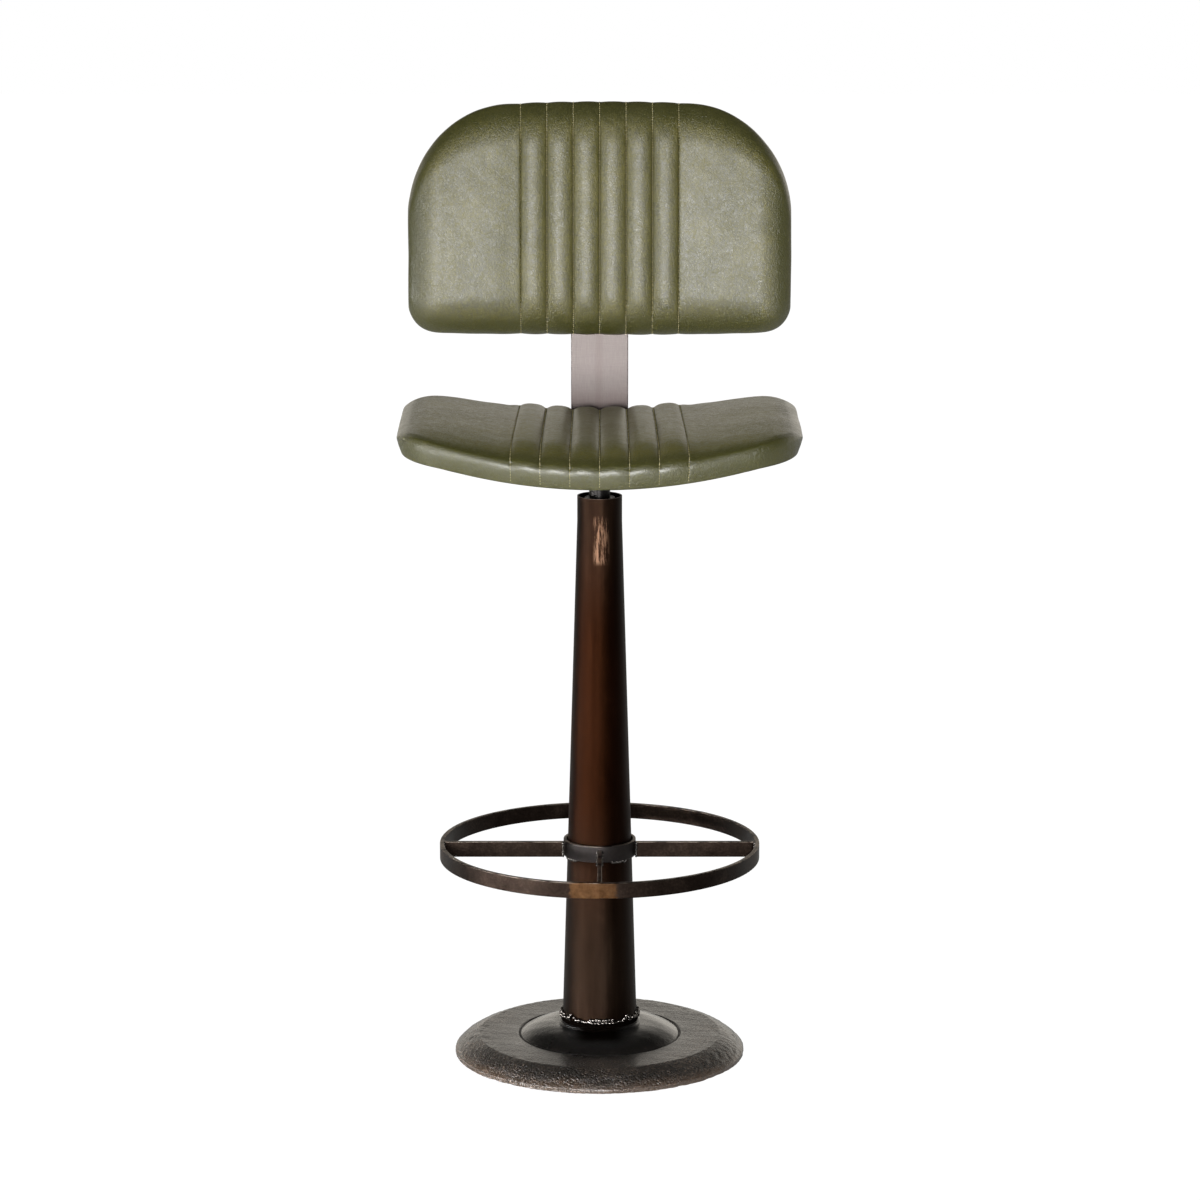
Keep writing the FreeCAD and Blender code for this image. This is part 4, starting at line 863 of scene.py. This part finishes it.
def back_space(points):
    """From (across, up the strap, towards the sitter) to the parts' frame."""
    across, up, out = points[:, 0], points[:, 1], points[:, 2]
    y = STRAP_SETBACK - out * math.cos(RECLINE) + up * math.sin(RECLINE)
    z = STRAP_TOP + out * math.sin(RECLINE) + up * math.cos(RECLINE)
    return np.stack([across, y, z], axis=1)


def make_cushion(name, made, to_space, node, mirrored):
    points, faces, values, tracks, normals = made
    placed = to_space(points)
    cushion = make_piece(name, placed, flip(faces) if mirrored else faces, hide, "seat")
    for key, numbers in values.items():
        add_values(cushion, key, numbers)
    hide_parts(node)
    sewn_points, sewn_faces = stitches(placed, to_space(points + normals) - placed, tracks)
    make_piece(name + "_stitching", sewn_points, sewn_faces, seam_thread, "seat")


seat_made = build_pad(
    SEAT, lambda reach: SEAT["base"] + bow(reach, SEAT["dish"]),
    (SEAT["front_roll"], SEAT["rear_roll"]), SEAT["fall"], (0.42, 0.85, 60.0, 16.0), 360, 1.3,
)
make_cushion("seat_pad_leather", seat_made, lambda points: points, "seat_cushion", False)

back_made = build_pad(
    BACK, lambda reach: bow(reach, BACK["bend"]),
    (BACK["end_roll"], BACK["end_roll"]), 0.0, (0.22, 0.22, 48.0, 48.0), 290, 2.9,
)
make_cushion("back_pad_leather", back_made, back_space, "back_cushion", True)


# Cast base


def even_profile(corners, gap, soften):
    """Closed profile in even steps, with its corners rounded over about the given length."""
    line = []
    for corner in corners:
        if len(corner) == 4:
            line += arc_points(line[-1], corner[:2], *corner[2:])[1:].tolist()
        else:
            line.append(corner)
    line = np.array([*line, line[0]], float)
    steps = run_lengths(line)
    even = points_at(np.linspace(0.0, steps[-1], int(steps[-1] / gap), endpoint=False), steps, line)
    for _ in range(int((soften / gap) ** 2) + 1):
        even = 0.5 * even + 0.25 * (np.roll(even, 1, axis=0) + np.roll(even, -1, axis=0))
    return even


def lathe(profile, segments):
    """Points and faces of a closed profile (radius, height) turned about the upright axis."""
    angles = np.linspace(0.0, TURN, segments, endpoint=False)
    radii, heights = profile.T
    points = np.stack([
        np.outer(np.cos(angles), radii), np.outer(np.sin(angles), radii), np.tile(heights, (segments, 1)),
    ], axis=2)
    index = np.arange(segments * len(profile)).reshape(segments, len(profile))
    around, along = np.roll(index, -1, axis=0), np.roll(index, -1, axis=1)
    return points.reshape(-1, 3), faces_of(index, around, np.roll(around, -1, axis=1), along)


# Radii and heights of the casting's corners; a third value is an arc's radius, a fourth its side
BASE_RADIUS, BASE_EDGE_TOP, CREST_RADIUS, CREST = 175.0, 6.0, 146.0, 24.0
GROOVE, GROOVE_HALF, GROOVE_DEPTH = 97.0, 1.9, 2.6
HUB_RADIUS, LIP, LIP_THICKNESS, HUB_TOP, HUB_TOP_RADIUS = 49.0, 41.0, 4.0, 48.0, 46.0
SPIGOT, SPIGOT_TOP, HOLLOW, CEILING, BASE_FOOT = 42.4, 54.0, 34.0, 22.6, 1.0
PROFILE_STEP, PROFILE_SOFTNESS, SEGMENTS = 0.5, 0.45, 420
base_profile = even_profile([
    (HOLLOW, SPIGOT_TOP), (HOLLOW, CEILING), (57.0, CEILING), (GROOVE, 13.4), (CREST_RADIUS, 15.0),
    (157.0, 4.0), (166.0, 4.0), (166.0, BASE_FOOT), (BASE_RADIUS, BASE_FOOT), (BASE_RADIUS, BASE_EDGE_TOP),
    (CREST_RADIUS, CREST, 58.0, -1), (GROOVE + GROOVE_HALF, CREST), (GROOVE, CREST - GROOVE_DEPTH),
    (GROOVE - GROOVE_HALF, CREST), (HUB_RADIUS - 1.0, LIP - LIP_THICKNESS + 0.4, 78.0, -1), (46.8, 37.9),
    (HUB_RADIUS - 0.2, 39.9), (HUB_RADIUS, LIP - 0.3), (HUB_RADIUS - 0.5, LIP + 0.2), (46.6, LIP + 0.5),
    (HUB_TOP_RADIUS, HUB_TOP), (SPIGOT, HUB_TOP), (SPIGOT, SPIGOT_TOP),
], PROFILE_STEP, PROFILE_SOFTNESS)
base_points, base_faces = lathe(base_profile, SEGMENTS)
radius = np.hypot(base_points[:, 0], base_points[:, 1])
outside = base_points[:, 2] > np.where(radius > 150.0, 0.0, 16.0)
# Cast skin: long swells, fine grain towards the rim, and pits there
rough = smoothstep(radius, 118.0, 172.0)
bumps = 0.14 * waves(base_points, 26.0, 4.4) + (0.04 + 0.26 * rough) * waves(base_points, 6.5, 5.3)
bumps -= 0.75 * rough * np.maximum(0.0, waves(base_points, 15.0, 9.7) - 0.35)
bumps *= outside * smoothstep(radius, 50.0, 56.0)
base_points = base_points + vertex_normals(base_points, base_faces) * bumps[:, None]
casting = cast_iron("painted_casting")
base = make_piece("cast_base_shape", base_points, base_faces.tolist(), casting, "stand")
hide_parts("base_casting")


# Welds


def weld_beads(name, drops, body, node=None, voxel=0.42):
    """Overlapping drops of weld metal, melted into one another."""
    spheres = bmesh.new()
    for place, size in drops:
        made = bmesh.ops.create_icosphere(spheres, subdivisions=3, radius=size * MM)
        bmesh.ops.translate(spheres, verts=made["verts"], vec=[part * MM for part in place])
    mesh = bpy.data.meshes.new(name)
    spheres.to_mesh(mesh)
    spheres.free()
    piece = add_object(name, mesh)
    remesh = piece.modifiers.new("melt", "REMESH")
    remesh.mode, remesh.voxel_size, remesh.use_smooth_shade = "VOXEL", voxel * MM, True
    smooth = piece.modifiers.new("settle", "SMOOTH")
    smooth.factor, smooth.iterations = 0.5, 4
    bpy.context.view_layer.update()
    melted = bpy.data.meshes.new_from_object(piece.evaluated_get(bpy.context.evaluated_depsgraph_get()))
    piece.modifiers.clear()
    piece.data = melted
    melted.name = name
    melted.materials.clear()
    melted.materials.append(weld_metal)
    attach(piece, body)
    if node:
        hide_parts(node)


def on_circle(angle, distance, height):
    """Place at an angle in degrees about the upright axis."""
    turn = math.radians(angle)
    return distance * math.cos(turn), distance * math.sin(turn), height


def arc_drops(middle, sweep, distance, height, leg, seed, gap=0.72):
    """Drops along an arc about the upright axis, of uneven size and place."""
    count = max(3, int(math.radians(sweep) * distance / (leg * gap)))
    drops = []
    for index in range(count):
        share = index / (count - 1) - 0.5
        out = distance + 0.14 * leg * math.sin(3.7 * index + 1.3 * seed)
        size = leg * (0.72 + 0.13 * math.sin(2.4 * index + seed)) * (1.0 - 0.9 * abs(share) ** 4)
        up = height + 0.12 * leg * math.sin(1.7 * index + 2.1 * seed)
        drops.append((on_circle(middle + sweep * share, out, up), size))
    return drops


def quarters(first):
    """Four angles a quarter turn apart, with their numbers."""
    return enumerate([(first + 90.0 * index) % 360.0 for index in range(4)])


def four_arcs(first, sweep, distance, height, leg, pace, seed):
    drops = []
    for index, angle in quarters(first):
        drops += arc_drops(angle, sweep, distance, height, leg, pace * index + seed)
    return drops


COLUMN_FOOT, COLUMN_SLOPE, RING_BOTTOM, COLLAR_RADIUS = 44.7, 18.0 / 609.0, 244.0, 43.5
RING_BORE, PLATE_BOTTOM, SPINDLE_RADIUS = 187.5, 714.0, 12.5
FRONT = 270.0
# Single drops beside each foot weld: angle, distance from the column, height above the hub, size
SPATTER = ((-32.0, 2.3, 2.2, 2.9), (-41.0, 2.4, 4.0, 2.2), (39.0, 2.8, 3.4, 2.5), (43.0, 2.6, 6.6, 1.9))
SPOKE_BEAD_DROPS, SPOKE_FACE = 9, 3.0

foot_drops = []
for index, angle in quarters(FRONT):
    foot_drops += arc_drops(angle, 76.0, COLUMN_FOOT + 0.5, HUB_TOP + 0.6, 3.3, 1.7 * index + 0.4, 0.6)
    foot_drops += arc_drops(angle + 3.0, 34.0, COLUMN_FOOT + 1.2, HUB_TOP + 3.9, 2.9, 2.1 * index + 1.9, 1.15)
    foot_drops += arc_drops(angle + 5.0, 32.0, COLUMN_FOOT + 2.4, HUB_TOP + 0.2, 2.9, 1.3 * index + 0.8, 1.2)
    for turn, out, up, size in SPATTER:
        foot_drops.append((on_circle(angle + turn, out + COLUMN_FOOT, HUB_TOP + up), size))
weld_beads("foot_weld_beads", foot_drops, "stand", "foot_weld")

collar_column = COLUMN_FOOT - (RING_BOTTOM + 3.5 - HUB_TOP) * COLUMN_SLOPE
collar_drops = four_arcs(305.0, 26.0, collar_column + 1.9, RING_BOTTOM + 3.1, 3.6, 2.3, 1.1)
weld_beads("collar_weld_beads", collar_drops, "stand", "collar_weld")
spindle_drops = four_arcs(0.0, 70.0, SPINDLE_RADIUS + 1.2, PLATE_BOTTOM - 0.9, 5.0, 1.9, 0.7)
weld_beads("spindle_weld_beads", spindle_drops, "seat", "spindle_weld")

joint_drops = []
for index, angle in quarters(FRONT):
    turn = math.radians(angle)
    along, across = np.array([math.cos(turn), math.sin(turn)]), np.array([-math.sin(turn), math.cos(turn)])
    for side in (-1.0, 1.0):
        for distance, low, high in ((COLLAR_RADIUS + 0.6, 1.0, 17.0), (RING_BORE - 0.9, 1.5, 17.5)):
            for step in range(SPOKE_BEAD_DROPS):
                height = RING_BOTTOM + low + (high - low) * step / (SPOKE_BEAD_DROPS - 1)
                uneven = math.sin(2.9 * step + 1.3 * index + 2.0 * side + 0.1 * distance)
                spot = along * (distance + 0.2 * uneven) + across * side * (SPOKE_FACE + 0.25 * uneven)
                joint_drops.append(((*spot, height), 1.55 + 0.3 * uneven))
weld_beads("spoke_weld_beads", joint_drops, "stand", None, 0.4)


# Rear panel of the backrest and cloth under the seat


def panel_mesh(outline, top_at, bottom_at, edge):
    """Closed panel between two surfaces, with the rim rounded over its edge length."""
    centre = outline.mean(axis=0)
    reach = np.linalg.norm(outline - centre, axis=1)[:, None]
    rings, lifts = [], []
    for inset in edge * (1.0 - np.cos(np.linspace(0.0, QUARTER, 6))):
        rings.append(centre + (outline - centre) * (1.0 - inset / reach))
        lifts.append(math.sqrt(max(1.0 - (1.0 - inset / edge) ** 2, 0.0)))
    for share in np.linspace(1.0, 0.0, 34)[1:-1]:
        rings.append(centre + (outline - centre) * (1.0 - edge / reach) * share)
        lifts.append(1.0)
    points = []
    for side, surface in ((1.0, top_at), (-1.0, bottom_at)):
        for ring, lift in zip(rings, lifts):
            top, bottom = top_at(ring), bottom_at(ring)
            points.append(np.column_stack([ring, (top + bottom) / 2.0 + side * (top - bottom) / 2.0 * lift]))
        points.append(np.array([[*centre, surface(centre[None, :])[0]]]))
    grid, ahead, upper = ring_walls(len(outline), len(rings))
    upper += faces_of(grid[-1], ahead[-1], np.full(len(outline), grid.size)).tolist()
    block = grid.size + 1
    lower = [[block + corner for corner in face] for face in flip(upper)]
    seam = faces_of(ahead[0], grid[0], block + grid[0], block + ahead[0]).tolist()
    return np.concatenate(points), upper + lower + seam


PANEL_THICKNESS, CLOTH_THICKNESS = 3.0, 0.85
STAPLE_GAP, STAPLE_INSET = 34.0, 7.0
# Places along a staple with their height over the cloth's lower face, then the corners of its wire
STAPLE_LINE = ((-5.0, 0.6), (-4.9, -0.25), (-4.3, -0.55), (4.3, -0.55), (4.9, -0.25), (5.0, 0.6))
STAPLE_WIRE = ((-0.6, 0.0), (0.6, 0.0), (0.6, 0.42), (-0.6, 0.42))


def level(plan):
    return np.column_stack([plan, np.zeros(len(plan))])


def rear_inside(plan):
    return PANEL_THICKNESS + bow(np.abs(plan[:, 0]), BACK["bend"] - PANEL_THICKNESS)


def rear_outside(plan):
    reach = np.abs(plan[:, 0])
    low, high = BACK["plan"][:2]
    inward = np.minimum(plan[:, 1] - low, high - plan[:, 1])
    inward = np.minimum(BACK["half"] - reach, inward) - MARGIN
    crown = 1.5 * smoothstep(inward, 0.0, 40.0) * smoothstep(reach, 38.0, 74.0)
    free = smoothstep(reach, 38.0, 60.0) * smoothstep(inward, 0.0, 20.0)
    return bow(reach, BACK["bend"]) - crown - 0.25 * waves(level(plan), 60.0, 6.2) * free


rear_points, rear_faces = panel_mesh(board_outline(BACK), rear_inside, rear_outside, 1.5)
rear_points, rear_faces = back_space(rear_points), flip(rear_faces)
rear_panel = make_piece("back_panel_leather", rear_points, rear_faces, hide, "seat")
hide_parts("back_rear_cover")

cloth_outline = board_outline(SEAT)


def cloth_top(plan):
    return SEAT["base"] - 0.05 + bow(np.abs(plan[:, 0]), SEAT["dish"])


def cloth_bottom(plan):
    reach = np.abs(plan[:, 0])
    inward = np.minimum(SEAT["half"] - reach, SEAT["plan"][1] - np.abs(plan[:, 1])) - MARGIN
    free = smoothstep(reach, 56.0, 92.0) * smoothstep(inward, 10.0, 60.0)
    flat = level(plan)
    return cloth_top(plan) - 0.9 - free * (0.9 + 0.5 * waves(flat, 70.0, 3.1) + 0.25 * waves(flat, 22.0, 1.9))


cloth_points, cloth_faces = panel_mesh(
    cloth_outline, lambda plan: cloth_bottom(plan) + CLOTH_THICKNESS, cloth_bottom, 0.4
)
dust_cloth = make_piece("seat_dust_cloth", cloth_points, cloth_faces, cover_cloth, "seat")
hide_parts("seat_dust_cover")


def sideways(direction):
    return np.array([-direction[1], direction[0]])


def staples(outline, gap, inset):
    """Flat wire staples along an outline, each a rounded bar with its two bent ends."""
    closed = np.vstack([outline, outline[:1]])
    steps = run_lengths(closed)
    count = int(steps[-1] / gap)
    one = bar_faces(len(STAPLE_WIRE), len(STAPLE_LINE))
    points, faces = [], []
    for index in range(count):
        at = (index + 0.5) * steps[-1] / count
        spot, ahead = points_at(at, steps, closed), points_at(min(at + 2.0, steps[-1]), steps, closed)
        along = (ahead - spot) / np.linalg.norm(ahead - spot)
        inward = sideways(along)
        lean = 0.12 * math.sin(2.7 * index)
        along = along * math.cos(lean) + inward * math.sin(lean)
        spot = spot + inward * (inset + 0.8 * math.sin(1.9 * index))
        base_height = cloth_bottom(spot[None, :])[0]
        faces += [[len(points) + corner for corner in face] for face in one]
        for offset, drop in STAPLE_LINE:
            for wide, high in STAPLE_WIRE:
                points.append((*(spot + along * offset + sideways(along) * wide), base_height + drop + high))
    return np.array(points), faces


staple_points, staple_faces = staples(cloth_outline, STAPLE_GAP, STAPLE_INSET)
make_piece("dust_cloth_staples", staple_points, staple_faces, wire_metal, "seat", False)


# Light, floor and surroundings


def area_light(name, place, target, size, power, spread=180.0):
    data = bpy.data.lights.new(name, "AREA")
    data.shape = "RECTANGLE"
    data.size, data.size_y = size
    data.energy = power
    data.spread = math.radians(spread)
    lamp = add_object(name, data)
    lamp.location = place
    aim = Vector(target) - Vector(place)
    lamp.rotation_euler = aim.to_track_quat("-Z", "Y").to_euler()


area_light("front", (-0.55, -4.6, 0.85), (0.0, 0.0, 0.85), (2.0, 1.35), 196.0)
area_light("left", (-3.1, -2.6, 1.3), (0.0, 0.0, 0.8), (2.6, 1.8), 28.0)
# Narrow low lamps that light the column and the base and pass under the backrest
LOW_LAMP_DISTANCE, LOW_LAMP_HEIGHT, LOW_LAMP_POWER, LOW_LAMP_SPREAD = 3.9, 0.25, 1.95, 22.0
for index, turn in enumerate((40.0, 62.0, 84.0)):
    place = on_circle(FRONT - turn, LOW_LAMP_DISTANCE, LOW_LAMP_HEIGHT)
    area_light("left_low_%d" % index, place, (0.0, 0.0, 0.22), (1.2, 0.5), LOW_LAMP_POWER, LOW_LAMP_SPREAD)

SKY_BEHIND, SKY_AROUND, SKY_WARMTH = 0.98, 0.022, (1.0, 0.94, 0.84)
FLOOR_GLOW, FLOOR_GLOW_SHARE = 1.14, 0.87

world = bpy.data.worlds.new("studio")
world.use_nodes = True
scene.world = world
sky = Shader("studio", world.node_tree)
facing = sky.axes(sky.places["Generated"])
behind = sky.ease(facing[1], 0.1, 0.9)
low = sky.ease(facing[2], 0.02, 0.60, 1.0, 0.0)
rightward = sky.span(facing[0], -1.0, 1.0, 0.6, 1.4)
around = sky.add(sky.times(behind, low, rightward, SKY_BEHIND), SKY_AROUND)
rays = sky.node("LightPath").outputs
mirrored_rays = sky.maths("MAXIMUM", rays["Is Glossy Ray"], rays["Is Transmission Ray"])
soft_top = sky.blend(sky.span(facing[2], 0.0, 1.0), (0.26, 0.26, 0.26), (0.80, 0.80, 0.76))
lit = sky.blend(mirrored_rays, soft_top, sky.blend(around, (0.0, 0.0, 0.0), SKY_WARMTH))
seen = sky.blend(rays["Is Camera Ray"], lit, WHITE)
sky.output("OutputWorld", sky.node("Background", {"Color": seen, "Strength": 1.0}))


def floor_material():
    """Pale studio floor that the camera sees as white and that still takes the object's shadow."""
    s = Shader("studio_floor")
    colour = s.blend(s.span(s.noise(3.0, 2.0, 0.5), 0.3, 0.7), (0.50, 0.50, 0.50), (0.52, 0.52, 0.52))
    matt = s.node("BsdfDiffuse", {"Color": colour}).outputs[0]
    glow = s.node("Emission", {"Color": WHITE, "Strength": FLOOR_GLOW}).outputs[0]
    share = s.times(s.node("LightPath").outputs["Is Camera Ray"], FLOOR_GLOW_SHARE)
    return s.output("OutputMaterial", s.node("MixShader", {0: share, 1: matt, 2: glow}))


FLOOR = 12.0
floor_mesh = bpy.data.meshes.new("studio_floor")
floor_corners = [(-FLOOR, -FLOOR, 0), (FLOOR, -FLOOR, 0), (FLOOR, FLOOR, 0), (-FLOOR, FLOOR, 0)]
floor_mesh.from_pydata(floor_corners, [], [(0, 1, 2, 3)])
floor_mesh.materials.append(floor_material())
floor = add_object("studio_floor", floor_mesh)

scene.view_settings.view_transform = "Standard"
